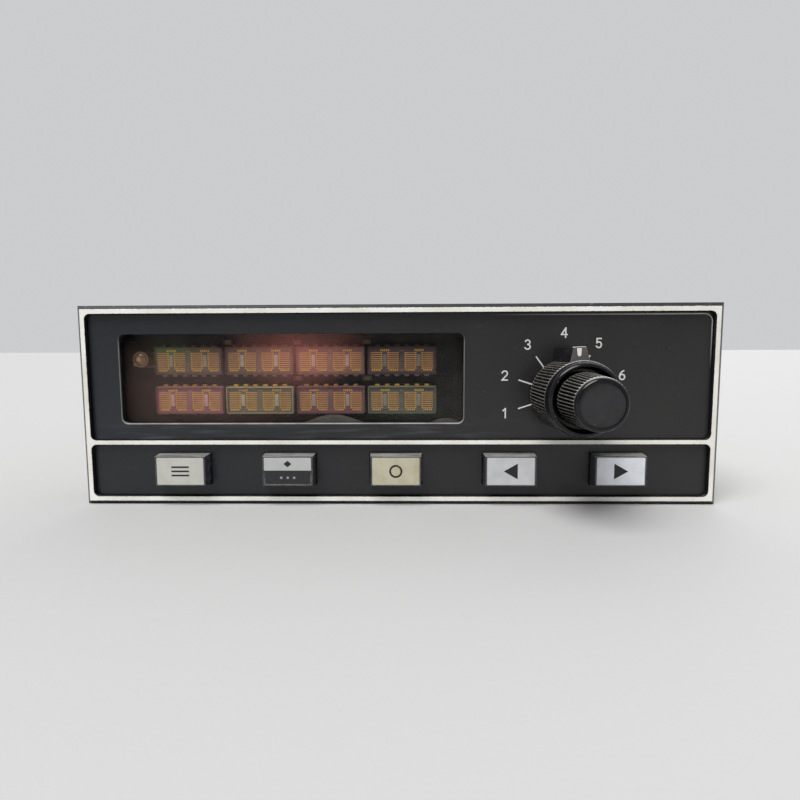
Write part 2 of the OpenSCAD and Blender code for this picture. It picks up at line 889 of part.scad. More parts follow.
// Dual in-line packages in two rows on the main board
module processor_chips() {
  color([0.06, 0.06, 0.06]) {
    for (x = chip_x) {
      for (y = chip_y) {
        translate([x, y, main_z + board_t]) {
          block([-chip_w / 2, -chip_l / 2, chip_lift],
                [chip_w / 2, chip_l / 2, chip_lift + chip_t]);
          for (p = steps(chip_pins, pin_pitch)) {
            block([-chip_w / 2 - chip_pin, p - chip_pin / 4, 0],
                  [chip_w / 2 + chip_pin, p + chip_pin / 4, chip_lift + chip_t / 2]);
          }
        }
      }
    }
  }
}

module filter_capacitors() {
  color([0.1, 0.15, 0.35]) {
    for (x = capacitor_x) {
      for (y = capacitor_y) {
        post(x, y, capacitor_r, main_z + board_t, main_z + board_t + capacitor_h);
      }
    }
  }
}

module backup_battery() {
  cell_z = main_z + board_t + battery_r + battery_lift;
  color([0.8, 0.75, 0.4]) union() {
    translate([battery_x, battery_y, cell_z]) rotate([0, 90, 0])
      cylinder(h = battery_l, r = battery_r);
    translate([battery_x + battery_l, battery_y, cell_z]) rotate([0, 90, 0])
      cylinder(h = battery_button[1], r = battery_button[0]);
    block([battery_x, battery_y - battery_pad[0], main_z + board_t],
          [battery_x + battery_l, battery_y + battery_pad[0], cell_z - battery_pad[1]]);
  }
}

// Flat lead from the front board to the main board
module front_ribbon() {
  color([0.6, 0.6, 0.62]) union() {
    block([-ribbon_w / 2, board_back, ribbon_z - ribbon_t], [ribbon_w / 2, ribbon_y, ribbon_z]);
    block([-ribbon_w / 2, ribbon_y - ribbon_t, main_z + board_t],
          [ribbon_w / 2, ribbon_y, ribbon_z]);
  }
}

module board_standoffs() {
  color([0.75, 0.75, 0.75]) {
    for (x = [-main_hole_x, main_hole_x]) {
      for (y = main_hole_y) {
        difference() {
          post(x, y, standoff_r, tray_bottom + sheet, main_z);
          post(x, y, small_screw_r + fit_gap, tray_bottom + sheet + 1.5, main_z + over);
        }
      }
    }
    for (x = spacer_x) {
      for (y = spacer_y) {
        post(x, y, standoff_r, main_z + board_t, receiver_z);
      }
    }
  }
}

// Pan-head screws that hold the bezel, the rear panel and the cover
module chassis_screws() {
  color([0.3, 0.3, 0.32]) {
    for (x = [-1, 1]) {
      for (z = [-1, 1]) {
        screw(x * bezel_screw_x, tab_back, z * bezel_screw_z, [90, 0, 0],
              screw_r, screw_l, head_r, head_t);
        screw(x * bezel_screw_x, chassis_d, z * rear_screw_z, [90, 0, 0],
              screw_r, screw_l, head_r, head_t);
      }
      for (y = cover_screw_y) {
        screw(x * cover_w / 2, y, cover_screw_z, [0, -90 * x, 0],
              screw_r, screw_l, head_r, head_t);
      }
    }
  }
}

// Small screws through the circuit boards
module board_screws() {
  color([0.7, 0.7, 0.7]) {
    for (x = board_screw_x) {
      screw(x, board_back, web_z, [90, 0, 0], small_screw_r, small_screw_l,
            small_head_r, small_head_t);
    }
    for (x = [-main_hole_x, main_hole_x]) {
      for (y = main_hole_y) {
        screw(x, y, main_z + board_t, [180, 0, 0], small_screw_r, small_screw_l,
              small_head_r, small_head_t);
      }
    }
  }
}

bezel();
upper_faceplate();
lower_faceplate();
window_filter();
front_board();
for (i = [1:DISPLAYS]) display_module(i);
display_sockets();
photocell();
key_switches();
for (i = [0:4]) key_cap(KEY_X[i]);
for (i = [0:4]) key_legend(KEY_X[i]);
for (i = [0:4]) key_plunger(KEY_X[i]);
outer_knob();
inner_knob();
inner_knob_cap();
outer_knob_set_screw();
inner_knob_set_screw();
outer_shaft();
inner_shaft();
selector_bushing();
selector_nut();
rotary_switch();
encoder();
chassis_tray();
top_cover();
rear_panel();
heat_sink();
power_regulators();
rear_connector();
jack_screws();
antenna_connector();
main_board();
receiver_board();
receiver_shield();
processor_chips();
filter_capacitors();
backup_battery();
front_ribbon();
board_standoffs();
chassis_screws();
board_screws();
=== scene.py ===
"""The looks of a panel-mount navigation receiver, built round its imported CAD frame.

Lengths are millimetres in the row's frame: +X right, +Y into the panel, +Z up.
The origin is the middle of the bezel's back face.
"""

import math

import bmesh
import bpy
from mathutils import Euler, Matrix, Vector


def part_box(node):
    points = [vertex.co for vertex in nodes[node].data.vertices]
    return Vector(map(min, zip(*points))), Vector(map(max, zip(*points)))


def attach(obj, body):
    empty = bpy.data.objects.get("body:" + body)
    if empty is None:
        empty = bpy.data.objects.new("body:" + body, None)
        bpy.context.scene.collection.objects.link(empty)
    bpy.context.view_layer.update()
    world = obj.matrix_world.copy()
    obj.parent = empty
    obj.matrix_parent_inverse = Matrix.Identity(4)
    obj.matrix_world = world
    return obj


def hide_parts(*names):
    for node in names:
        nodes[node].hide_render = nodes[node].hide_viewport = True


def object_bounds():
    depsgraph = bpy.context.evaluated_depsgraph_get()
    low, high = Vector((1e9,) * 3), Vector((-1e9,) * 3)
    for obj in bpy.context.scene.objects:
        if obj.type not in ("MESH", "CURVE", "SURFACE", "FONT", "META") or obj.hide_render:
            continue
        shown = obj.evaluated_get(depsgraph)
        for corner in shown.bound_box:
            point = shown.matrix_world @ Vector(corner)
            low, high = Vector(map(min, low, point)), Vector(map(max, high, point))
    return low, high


MM = 0.001
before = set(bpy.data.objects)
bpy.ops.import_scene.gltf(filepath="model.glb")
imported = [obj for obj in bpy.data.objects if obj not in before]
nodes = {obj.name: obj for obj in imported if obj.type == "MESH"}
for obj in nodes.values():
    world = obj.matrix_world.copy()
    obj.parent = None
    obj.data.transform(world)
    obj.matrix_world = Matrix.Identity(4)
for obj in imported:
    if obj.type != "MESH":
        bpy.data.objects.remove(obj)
cad_low, cad_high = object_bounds()


class Box:
    """A CAD node's box at rest, in millimetres."""

    def __init__(self, node):
        low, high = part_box(node)
        self.low, self.high = low / MM, high / MM
        self.mid = (self.low + self.high) / 2
        self.size = self.high - self.low


def srgb(red, green, blue):
    """A display colour, 0 to 255, as the linear values that shaders take."""
    channels = [c / 255 for c in (red, green, blue)]
    linear = [c / 12.92 if c <= 0.04045 else ((c + 0.055) / 1.055) ** 2.4 for c in channels]
    return (*linear, 1.0)


# ---------------------------------------------------------------- materials


class Look:
    """A Principled material whose colour, roughness and bump build up in layers.

    Its patterns live in object space, in millimetres.
    """

    def __init__(self, name, colour, rough, **constants):
        self.material = bpy.data.materials.new(name)
        self.material.use_nodes = True
        self.tree = self.material.node_tree
        self.shader = self.tree.nodes["Principled BSDF"]
        for socket, value in constants.items():
            self.shader.inputs[socket.replace("_", " ")].default_value = value
        spot = self.tree.nodes.new("ShaderNodeTexCoord")
        scale = self.tree.nodes.new("ShaderNodeMapping")
        scale.inputs["Scale"].default_value = (1 / MM,) * 3
        self.tree.links.new(spot.outputs["Object"], scale.inputs["Vector"])
        self.place = scale.outputs["Vector"]
        self.way = spot.outputs["Normal"]
        self.colour = colour
        self.rough = rough
        self.normal = None
        self.seed = 0

    def node(self, kind, links=None, **settings):
        made = self.tree.nodes.new(kind)
        for key, value in settings.items():
            setattr(made, key, value)
        for socket, value in (links or {}).items():
            self.feed(made.inputs[socket], value)
        return made

    def feed(self, socket, value):
        if isinstance(value, bpy.types.NodeSocket):
            self.tree.links.new(value, socket)
        else:
            socket.default_value = value

    def moved(self, stretch=(1, 1, 1)):
        """The place, stretched and shifted so that no two patterns line up."""
        self.seed += 1
        shift = (17.3 * self.seed, 31.7 * self.seed, 7.9 * self.seed)
        return self.node(
            "ShaderNodeMapping",
            {"Vector": self.place, "Scale": tuple(1 / s for s in stretch), "Location": shift},
        ).outputs["Vector"]

    def noise(self, size, detail=3.0, stretch=(1, 1, 1)):
        return self.node(
            "ShaderNodeTexNoise",
            {"Vector": self.moved(stretch), "Scale": 1 / size, "Detail": detail},
        ).outputs["Fac"]

    def cells(self, size, stretch=(1, 1, 1), metric="EUCLIDEAN"):
        """(distance to the nearest random point, a random value for its cell)."""
        made = self.node(
            "ShaderNodeTexVoronoi",
            {"Vector": self.moved(stretch), "Scale": 1 / size},
            distance=metric,
        )
        return made.outputs["Distance"], made.outputs["Color"]

    def between(self, value, low, high, start=0.0, end=1.0):
        return self.node(
            "ShaderNodeMapRange",
            {"Value": value, "From Min": low, "From Max": high, "To Min": start, "To Max": end},
        ).outputs["Result"]

    def math(self, operation, first, second=0.0):
        made = self.node("ShaderNodeMath", operation=operation)
        self.feed(made.inputs[0], first)
        self.feed(made.inputs[1], second)
        return made.outputs["Value"]

    def both(self, first, second):
        return self.math("MULTIPLY", first, second)

    def mix(self, share, first, second):
        made = self.node("ShaderNodeMix", data_type="RGBA")
        self.feed(made.inputs[0], share)
        self.feed(made.inputs[6], first)
        self.feed(made.inputs[7], second)
        return made.outputs[2]

    def axis(self, name):
        return self.node("ShaderNodeSeparateXYZ", {"Vector": self.place}).outputs[name]

    def facing(self, name, low=0.6, high=0.95):
        """1 on the faces that look along an axis."""
        along = self.node("ShaderNodeSeparateXYZ", {"Vector": self.way}).outputs[name]
        return self.between(along, low, high)

    def reach(self, x, z, wide=1.0, tall=1.0):
        """Distance from a line along Y, in units of wide and tall."""
        dx = self.math("DIVIDE", self.math("SUBTRACT", self.axis("X"), x), wide)
        dz = self.math("DIVIDE", self.math("SUBTRACT", self.axis("Z"), z), tall)
        return self.math("SQRT", self.math("ADD", self.both(dx, dx), self.both(dz, dz)))

    def outline(self, x, z, w, h, r):
        """Distance in the front plane to a round-cornered rectangle, negative inside it."""
        across = self.math("ABSOLUTE", self.math("SUBTRACT", self.axis("X"), x))
        along = self.math("ABSOLUTE", self.math("SUBTRACT", self.axis("Z"), z))
        past_x = self.math("SUBTRACT", across, w / 2 - r)
        past_z = self.math("SUBTRACT", along, h / 2 - r)
        out_x = self.math("MAXIMUM", past_x, 0.0)
        out_z = self.math("MAXIMUM", past_z, 0.0)
        corner = self.math("SQRT", self.math("ADD", self.both(out_x, out_x), self.both(out_z, out_z)))
        inside = self.math("MINIMUM", self.math("MAXIMUM", past_x, past_z), 0.0)
        return self.math("SUBTRACT", self.math("ADD", corner, inside), r)

    def line(self, distance, width):
        """1 along a thin line where distance is nought."""
        return self.between(self.math("ABSOLUTE", distance), width / 2, width / 4)

    def rounded(self, radius):
        """Shades sharp edges as though they were rounded."""
        made = self.node("ShaderNodeBevel", {"Radius": radius * MM}, samples=4)
        self.normal = made.outputs["Normal"]
        return self

    def edges(self, radius, low=0.02, high=0.2):
        """1 on sharp edges, fading over about radius."""
        rounded = self.node("ShaderNodeBevel", {"Radius": radius * MM}, samples=4)
        straight = self.node("ShaderNodeNewGeometry")
        dot = self.node("ShaderNodeVectorMath", operation="DOT_PRODUCT")
        self.feed(dot.inputs[0], rounded.outputs["Normal"])
        self.feed(dot.inputs[1], straight.outputs["Normal"])
        return self.between(dot.outputs["Value"], 1 - low, 1 - high)

    def tint(self, share, colour, rough=None):
        """Lays a colour, and perhaps a roughness, over what is there."""
        self.colour = self.mix(share, self.colour, colour)
        if rough is not None:
            base = self.rough
            spread = self.node("ShaderNodeMix", data_type="FLOAT")
            self.feed(spread.inputs[0], share)
            self.feed(spread.inputs[2], base)
            self.feed(spread.inputs[3], rough)
            self.rough = spread.outputs[0]
        return self

    def bump(self, height, depth, strength=1.0):
        """Raises the surface by height times depth millimetres."""
        links = {"Height": height, "Distance": depth * MM, "Strength": strength}
        if self.normal is not None:
            links["Normal"] = self.normal
        self.normal = self.node("ShaderNodeBump", links).outputs["Normal"]
        return self

    def mottle(self, size, amount):
        """Large soft changes of shade and gloss."""
        cloud = self.noise(size)
        self.colour = self.mix(self.between(cloud, 0.3, 0.7, 0.0, amount), self.colour, BLACK)
        self.rough = self.math("ADD", self.rough, self.between(cloud, 0.3, 0.7, -0.04, 0.06))
        return self

    def grain(self, size, depth, rough=0.05, stretch=(1, 1, 1)):
        """A fine moulded, cast or brushed texture."""
        fine = self.noise(size, 2.0, stretch)
        self.rough = self.math("ADD", self.rough, self.between(fine, 0.3, 0.7, -rough, rough))
        return self.bump(fine, depth)

    def dust(self, spacing, size, share, colour, strength=0.8):
        """Scattered specks: one in each cell of spacing, in a share of the cells."""
        distance, value = self.cells(spacing)
        here = self.between(distance, size / spacing, 0.55 * size / spacing)
        kept = self.between(value, share, share - 0.02)
        return self.tint(self.both(self.both(here, kept), strength), colour, 0.8)

    def scratches(self, length, width, share, colour, strength=0.5, rough=0.35):
        """Fine straight marks, mostly level."""
        fine = self.noise(width, 1.0, (length, length, 1))
        line = self.between(fine, 1 - share, 1.0 - share + 0.03)
        patch = self.between(self.noise(length / 2), 0.45, 0.6)
        return self.tint(self.both(self.both(line, patch), strength), colour, rough)

    def wear(self, radius, colour, rough=0.4, patch=1.5, strength=1.0):
        """Rubbed edges, in patches."""
        wear_and_highlight_patches = self.between(self.noise(patch), 0.34, 0.54)
        amount = self.both(self.both(self.edges(radius), wear_and_highlight_patches), strength)
        return self.tint(amount, colour, rough)

    def done(self):
        self.feed(self.shader.inputs["Base Color"], self.colour)
        self.feed(self.shader.inputs["Roughness"], self.rough)
        if self.normal is not None:
            self.feed(self.shader.inputs["Normal"], self.normal)
        return self.material


BLACK = (0.0, 0.0, 0.0, 1.0)
PALE_DUST = srgb(168, 166, 160)


def bezel_look(rim_y):
    """Black enamel, with the machined front line left off-white."""
    look = Look("bezel_black", srgb(27, 27, 33), 0.34)
    look.mottle(14, 0.3).grain(0.35, 0.01)
    # Painted light: top faces lighter grey, in patches.
    look.tint(look.both(look.facing("Z"), look.between(look.noise(3, 4), 0.3, 0.7)), srgb(58, 57, 60))
    look.dust(1.1, 0.16, 0.3, PALE_DUST)
    look.wear(0.3, srgb(104, 103, 104), 0.35, 3.0, 0.5)
    ragged = look.between(look.noise(0.7, 4), 0.3, 0.7, -0.05, 0.05)
    line = look.between(look.math("ADD", look.axis("Y"), ragged), rim_y + 0.09, rim_y + 0.05)
    aged = look.mix(look.between(look.noise(9), 0.35, 0.7), srgb(238, 236, 230), srgb(220, 216, 206))
    grimy = look.both(look.between(look.noise(0.8, 4), 0.5, 0.64), look.edges(0.3))
    look.tint(line, look.mix(grimy, aged, srgb(74, 56, 44)), 0.4)
    return look.done()


def faceplate_look(box, opening=None):
    """Charcoal satin enamel with dust and level smears, and painted highlights along the window's
    edge and the plate's upper right edge; opening is the window's.
    """
    look = Look("faceplate_charcoal", srgb(30, 30, 32), 0.34)
    across = look.between(look.axis("X"), box.low.x, box.high.x - 30)
    look.colour = look.mix(across, srgb(24, 27, 33), srgb(31, 30, 29))
    look.rough = look.between(look.noise(11), 0.3, 0.7, 0.28, 0.4)
    look.grain(0.22, 0.004, 0.04)
    look.scratches(9, 0.12, 0.3, srgb(95, 95, 96), 0.3)
    look.dust(1.9, 0.2, 0.1, srgb(176, 174, 166), 0.7)
    look.dust(0.9, 0.12, 0.14, srgb(120, 118, 114), 0.5)
    if opening is None:
        look.tint(0.16, BLACK)
    else:
        x, z, w, h, r = opening
        smear = look.between(look.noise(2.2, 4, (6, 1, 0.5)), 0.5, 0.8, 0.0, 0.4)
        near_foot = look.both(look.between(look.axis("Z"), box.low.z + 6, box.low.z + 1.5),
                              look.between(look.axis("X"), x + w / 2 + 20, x + w / 2 - 10))
        look.tint(look.both(smear, near_foot), srgb(104, 108, 116), 0.5)
        # Painted highlight along the window's edge, in patches: left off the top edge, stronger along
        # the foot, and only just behind the plate's front.
        wear_and_highlight_patches = look.between(look.noise(4, 3), 0.25, 0.55, 0.45, 1.0)
        below_top = look.between(look.axis("Z"), z + h / 2 - 0.5, z + h / 2 - 2.5)
        lit_window_ledge = look.line(look.outline(x, z, w + 0.15, h + 0.15, r), 0.3)
        foot = look.between(look.axis("Z"), z - h / 2 + 1, z - h / 2, 0.4, 1.0)
        behind = look.math("DIVIDE", look.math("SUBTRACT", look.axis("Y"), box.low.y), foot)
        shown = look.both(look.both(lit_window_ledge, wear_and_highlight_patches), look.both(below_top, foot))
        look.tint(look.both(shown, look.between(behind, 1.1, 0.8)), srgb(178, 177, 173), 0.3)
        # Painted highlight along the plate's upper right edge, strongest at the top.
        edge = look.outline(box.mid.x, box.mid.z, box.size.x - 0.5, box.size.z - 1.0, 1.9)
        rim = look.line(edge, 0.34)
        right = look.between(look.axis("X"), 22, 62, 0.0, 0.9)
        high = look.between(look.axis("Z"), box.high.z - 14, box.high.z - 1, 0.0, 1.0)
        look.tint(look.both(rim, look.both(right, high)), srgb(190, 187, 182))
    return look.done()


def window_look(middle, size):
    """Smoky filter whose coating blooms rose at the top and green at the left."""
    look = Look("window_tint", srgb(12, 8, 8), 0.05, Alpha=0.13)

    def bloom(x, z, wide, tall, strength):
        return look.between(look.reach(x, z, wide, tall), 1.0, 0.1, 0.0, strength)

    right, top = middle.x + size.x / 2, middle.z + size.z / 2
    left = middle.x - size.x / 2
    look.tint(bloom(left + 22, middle.z - 4, 34, 18, 0.55), srgb(166, 132, 122))
    look.tint(bloom(middle.x + 1.2, top - 2, 18, 15, 1.0), srgb(255, 158, 144))
    look.tint(bloom(left + 13, top - 6, 7, 5, 0.25), srgb(84, 142, 64))
    look.tint(bloom(right - 14, middle.z - 9, 18, 9, 0.3), srgb(120, 126, 112))
    look.dust(1.9, 0.2, 0.14, srgb(235, 232, 224), 0.7)
    return look.done()


def front_board_look():
    """Dark brown-black mask over wide, barely raised tracks, and a dark cut edge."""
    look = Look("front_board", srgb(66, 56, 50), 0.5)
    look.tint(look.between(look.noise(9, 2), 0.4, 0.62), srgb(40, 36, 33))
    track = look.between(look.math("PINGPONG", look.axis("X"), 3.3), 1.4, 1.6)
    look.tint(look.both(track, 0.3), srgb(62, 53, 47)).mottle(5, 0.3)
    return look.tint(look.facing("Z"), srgb(30, 27, 25), 0.6).done()


def board_look(name, mask_colour, trace_colour):
    """Solder mask over square-cornered traces, with tinned pads."""
    look = Look(name, mask_colour, 0.35)
    route, _ = look.cells(2.2, metric="CHEBYCHEV")
    trace = look.between(look.math("PINGPONG", route, 0.12), 0.05, 0.075)
    look.tint(look.both(trace, 0.8), trace_colour)
    look.bump(trace, 0.03)
    spot, value = look.cells(2.54)
    pad = look.both(look.between(spot, 0.17, 0.15), look.between(value, 0.3, 0.28))
    look.tint(pad, srgb(190, 188, 180), 0.25)
    return look.mottle(8, 0.2).done()


def moulded_look(name, colour, rough, depth=0.012, **constants):
    """Moulded plastic with a fine skin and a little dust."""
    look = Look(name, colour, rough, **constants)
    look.mottle(5, 0.15).grain(0.18, depth, 0.06)
    look.dust(1.3, 0.12, 0.2, PALE_DUST, 0.7)
    return look.done()


def key_look():
    """Smoky clear key caps: tops and sides painted lighter grey as painted light, and edges lighter
    in patches.
    """
    look = Look("key_black", srgb(44, 44, 50), 0.18, Coat_Weight=0.5)
    look.mottle(4, 0.3).grain(0.3, 0.012, 0.05)
    # Painted light: side faces lighter grey in patches, the right-hand sides more than the left.
    side = look.math("MAXIMUM", look.facing("X"), look.both(look.facing("X", -0.6, -0.95), 0.35))
    patches = look.between(look.noise(1.6, 3), 0.35, 0.65, 0.1, 0.6)
    look.tint(look.both(side, patches), srgb(92, 92, 104))
    # Painted light: top faces lighter grey, in level streaks.
    streak = look.between(look.noise(1.1, 4, (6, 1, 0.4)), 0.3, 0.68, 0.45, 1.0)
    look.tint(look.both(look.facing("Z"), streak), srgb(164, 162, 160), 0.3)
    look.scratches(3, 0.08, 0.34, srgb(130, 130, 132), 0.4)
    look.wear(0.16, srgb(170, 168, 168), 0.3, 1.2, 0.5)
    look.dust(0.8, 0.1, 0.25, PALE_DUST)
    return look.done()


def legend_look(name, colour, stain):
    """Milky legend plates, stained unevenly with age."""
    look = Look(name, colour, 0.3)
    look.tint(look.between(look.noise(2.6, 4), 0.42, 0.75, 0.0, 0.7), stain)
    look.tint(look.both(look.edges(0.35, 0.01, 0.3), 0.5), srgb(96, 92, 84))
    look.dust(0.7, 0.08, 0.15, srgb(60, 56, 50), 0.6)
    return look.grain(0.2, 0.004, 0.05).done()


def split_legend_look(box):
    """A legend plate that is milky above a level line and black, finely outlined, below it."""
    look = Look("legend_split", srgb(182, 184, 182), 0.3)
    look.tint(look.between(look.noise(2.6, 4), 0.42, 0.75, 0.0, 0.5), srgb(166, 166, 166))
    split = box.mid.z + 0.2
    look.tint(look.between(look.axis("Z"), split + 0.05, split - 0.05), srgb(33, 33, 36), 0.3)
    edge = look.line(look.outline(box.mid.x, box.mid.z, box.size.x - 0.2, box.size.z - 0.2, 0.4), 0.3)
    low = look.between(look.axis("Z"), split, split - 2)
    broken = look.between(look.noise(0.8, 3), 0.35, 0.6, 0.1, 0.7)
    look.tint(look.both(edge, look.both(low, broken)), srgb(128, 128, 126))
    look.dust(0.7, 0.1, 0.2, srgb(140, 140, 136), 0.6)
    return look.grain(0.2, 0.004, 0.05).done()


def ink_look(name, colour, loss=0.0, under=None):
    """Screen-printed ink; loss wears it down to the colour under it."""
    look = Look(name, colour, 0.5)
    look.mottle(1.5, 0.12)
    if loss:
        gone = look.between(look.noise(0.7, 4), 1 - loss - 0.04, 1 - loss + 0.04)
        look.tint(gone, under)
    return look.done()


def knob_look(name, colour, rough, crest=None):
    """Glossy knob plastic; crest gives the rib tops' (radius, y) at the back and the front."""
    look = Look(name, colour, rough, Specular_IOR_Level=0.3)
    look.mottle(3, 0.25).grain(0.14, 0.004, 0.04)
    if crest:
        (back_r, back_y), (front_r, front_y) = crest
        top = look.between(look.axis("Y"), back_y, front_y, back_r, front_r)
        over = look.math("SUBTRACT", look.reach(knob_x, knob_z), top)
        rib = look.both(look.between(over, -0.17, -0.02), look.between(over, 0.12, 0.05))
        # Rib crests lighter with dust and wear, and more so on upward-facing ribs as painted light
        # from above.
        lit_from_above = look.facing("Z", -0.45, 0.45)
        wear_and_highlight_patches = look.between(look.noise(1.6, 3), 0.3, 0.6, 0.5, 1.0)
        shown = look.both(look.between(lit_from_above, 0.0, 1.0, 0.1, 1.0), wear_and_highlight_patches)
        look.tint(look.both(rib, shown), srgb(112, 108, 102), 0.34)
        # Painted highlight on the upward-facing rib ends at the front.
        near_end = look.between(look.axis("Y"), front_y + 1.0, front_y + 0.6)
        end = look.both(near_end, look.facing("Z", 0.3, 0.85))
        look.tint(look.both(look.both(rib, end), 0.9), srgb(206, 204, 200), 0.3)
    look.scratches(2, 0.06, 0.36, srgb(92, 92, 93), 0.3)
    look.dust(1.1, 0.12, 0.25, PALE_DUST, 0.6)
    return look.done()


def metal_look(name, colour, rough, grain_size=0.08, brushed=(1, 1, 1), tarnish=None):
    """Turned, brushed or plated metal."""
    look = Look(name, colour, rough, Metallic=1.0).rounded(0.12)
    look.grain(grain_size, 0.004, 0.1, brushed)
    look.mottle(6, 0.12)
    if tarnish:
        look.tint(look.between(look.noise(2.5, 4), 0.55, 0.75, 0.0, 0.5), tarnish, 0.5)
    return look.wear(0.15, srgb(225, 222, 215), 0.25, 1.5, 0.5).done()


def chromate_look():
    """Sheet aluminium under a yellow chromate film that shades to rose and green."""
    look = Look("chassis_alloy", srgb(190, 177, 138), 0.5, Metallic=1.0).rounded(0.3)
    film = look.noise(38, 3)
    look.tint(look.between(film, 0.5, 0.68, 0.0, 0.6), srgb(184, 154, 138))
    look.tint(look.between(film, 0.46, 0.3, 0.0, 0.5), srgb(168, 176, 142))
    look.tint(look.between(look.noise(5, 4), 0.55, 0.8, 0.0, 0.4), srgb(150, 138, 112), 0.6)
    look.grain(0.22, 0.006, 0.08, (1, 40, 1))
    look.scratches(14, 0.16, 0.3, srgb(226, 220, 204), 0.6, 0.2)
    look.wear(0.4, srgb(222, 220, 212), 0.25, 4.0, 0.9)
    look.dust(2.0, 0.2, 0.25, PALE_DUST, 0.6)
    return look.done()


def sleeve_look(name, colour, stripe):
    """A shrunk plastic sleeve with one plain stripe along it."""
    look = Look(name, colour, 0.25, Coat_Weight=0.4)
    look.tint(look.between(look.math("PINGPONG", look.axis("X"), 9.0), 7.6, 7.7), stripe)
    return look.mottle(4, 0.12).grain(0.5, 0.01, 0.05).done()


def gold_look(name, colour, tarnish):
    """Thin gold plating, which takes part of its colour from the print under it."""
    look = Look(name, colour, 0.4, Metallic=0.35)
    return look.tint(look.between(look.noise(1.4, 4), 0.5, 0.72, 0.0, 0.6), tarnish, 0.5).done()


# ---------------------------------------------------------------- mesh code


def inset(outline, amount):
    """A closed outline, anticlockwise in x and z, moved inwards."""
    moved = []
    for i, point in enumerate(outline):
        before, after = outline[i - 1], outline[(i + 1) % len(outline)]
        come = (Vector(point) - Vector(before)).normalized()
        go = (Vector(after) - Vector(point)).normalized()
        side = Vector((-come.y - go.y, come.x + go.x))
        if side.length < 1e-6:
            moved.append(point)
            continue
        side.normalize()
        reach = amount / max(0.35, side.dot(Vector((-come.y, come.x))))
        moved.append((point[0] + side.x * reach, point[1] + side.y * reach))
    return moved


def arc(x, z, rx, rz, start, end, steps=8):
    """Points along part of an ellipse, in degrees."""
    angles = [math.radians(start + (end - start) * i / steps) for i in range(steps + 1)]
    return [(x + rx * math.cos(a), z + rz * math.sin(a)) for a in angles]


def rounded_rectangle(x, z, w, h, r, steps=5):
    """An anticlockwise outline with round corners."""
    corners = [(1, -1, -90), (1, 1, 0), (-1, 1, 90), (-1, -1, 180)]
    points = []
    for sx, sz, start in corners:
        cx, cz = x + sx * (w / 2 - r), z + sz * (h / 2 - r)
        points += arc(cx, cz, r, r, start, start + 90, steps)
    return points


def ribbon(points, width):
    """The outline of a stroke along points, with square ends half a width long."""
    line = [Vector(p) for p in points]
    line[0] -= (line[1] - line[0]).normalized() * width / 2
    line[-1] += (line[-1] - line[-2]).normalized() * width / 2
    left, right = [], []
    for i, point in enumerate(line):
        come = (point - line[max(i - 1, 0)]).normalized() if i else (line[1] - point).normalized()
        go = (line[i + 1] - point).normalized() if i + 1 < len(line) else come
        across = Vector((-come.y - go.y, come.x + go.x)).normalized()
        reach = width / 2 / max(0.6, across.dot(Vector((-come.y, come.x))))
        left.append(tuple(point + across * reach))
        right.append(tuple(point - across * reach))
    return right, left


class Shape:
    """Closed solids gathered into one piece."""

    def __init__(self):
        self.mesh = bmesh.new()

    def skin(self, rings, paint, closed=True):
        """Joins rings of points into a tube and caps its two ends."""
        made = [[self.mesh.verts.new(Vector(p) * MM) for p in ring] for ring in rings]
        count = len(made[0])
        faces = []
        for near, far in zip(made, made[1:]):
            for i in range(count if closed else count - 1):
                j = (i + 1) % count
                faces.append((near[i], near[j], far[j], far[i]))
        faces += [tuple(reversed(made[0])), tuple(made[-1])]
        for corners in faces:
            self.mesh.faces.new(corners).material_index = paint
        return self

    def prism(self, outline, front, back, paint=0, soft=0.0, steps=2):
        """An outline that faces the front, from back to front, its front edge rounded by soft."""
        rings = [[(x, back, z) for x, z in outline]]
        if soft:
            rings.append([(x, front + soft, z) for x, z in outline])
            for i in range(1, steps + 1):
                turn = math.pi / 2 * i / steps
                inner = inset(outline, soft * (1 - math.cos(turn)))
                depth = front + soft * (1 - math.sin(turn))
                rings.append([(x, depth, z) for x, z in inner])
        else:
            rings.append([(x, front, z) for x, z in outline])
        return self.skin(rings, paint)

    def slab(self, x, z, w, h, front, back, paint=0, r=0.05, soft=0.0):
        steps = 2 if r < 0.2 else 5
        return self.prism(rounded_rectangle(x, z, w, h, r, steps), front, back, paint, soft)

    def plate(self, x, z, w, h, front, back, paint=0):
        """A plain small block."""
        half_w, half_h = w / 2, h / 2
        outline = [(x - half_w, z - half_h), (x + half_w, z - half_h)]
        outline += [(x + half_w, z + half_h), (x - half_w, z + half_h)]
        return self.prism(outline, front, back, paint)

    def stroke(self, points, width, front, back, paint=0):
        """A painted line as a strip of quads."""
        right, left = ribbon(points, width)
        for i in range(len(points) - 1):
            outline = [right[i], right[i + 1], left[i + 1], left[i]]
            self.prism(outline, front, back, paint)
        return self

    def lathe(self, profile, x, z, sides, paint=0, ripple=None):
        """Turns a profile of (radius, y) about an axis along Y; ripple(turn, y) cuts into it."""
        rings = []
        for radius, y in profile:
            ring = []
            for i in range(sides):
                turn = 2 * math.pi * i / sides
                r = radius - (ripple(turn, y) if ripple else 0)
                ring.append((x + r * math.cos(turn), y, z + r * math.sin(turn)))
            rings.append(ring)
        return self.skin(rings, paint)

    def piece(self, name, body, looks, slot=None, stands_for=(), angle=38):
        """Turns what is gathered into an object that rides on a body."""
        bmesh.ops.recalc_face_normals(self.mesh, faces=self.mesh.faces)
        data = bpy.data.meshes.new(name)
        self.mesh.to_mesh(data)
        self.mesh.free()
        for look in looks:
            data.materials.append(look)
        data.polygons.foreach_set("use_smooth", [True] * len(data.polygons))
        data.set_sharp_from_angle(angle=math.radians(angle))
        made = bpy.data.objects.new(name, data)
        bpy.context.scene.collection.objects.link(made)
        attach(made, body)
        if stands_for:
            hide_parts(*stands_for)
        return made


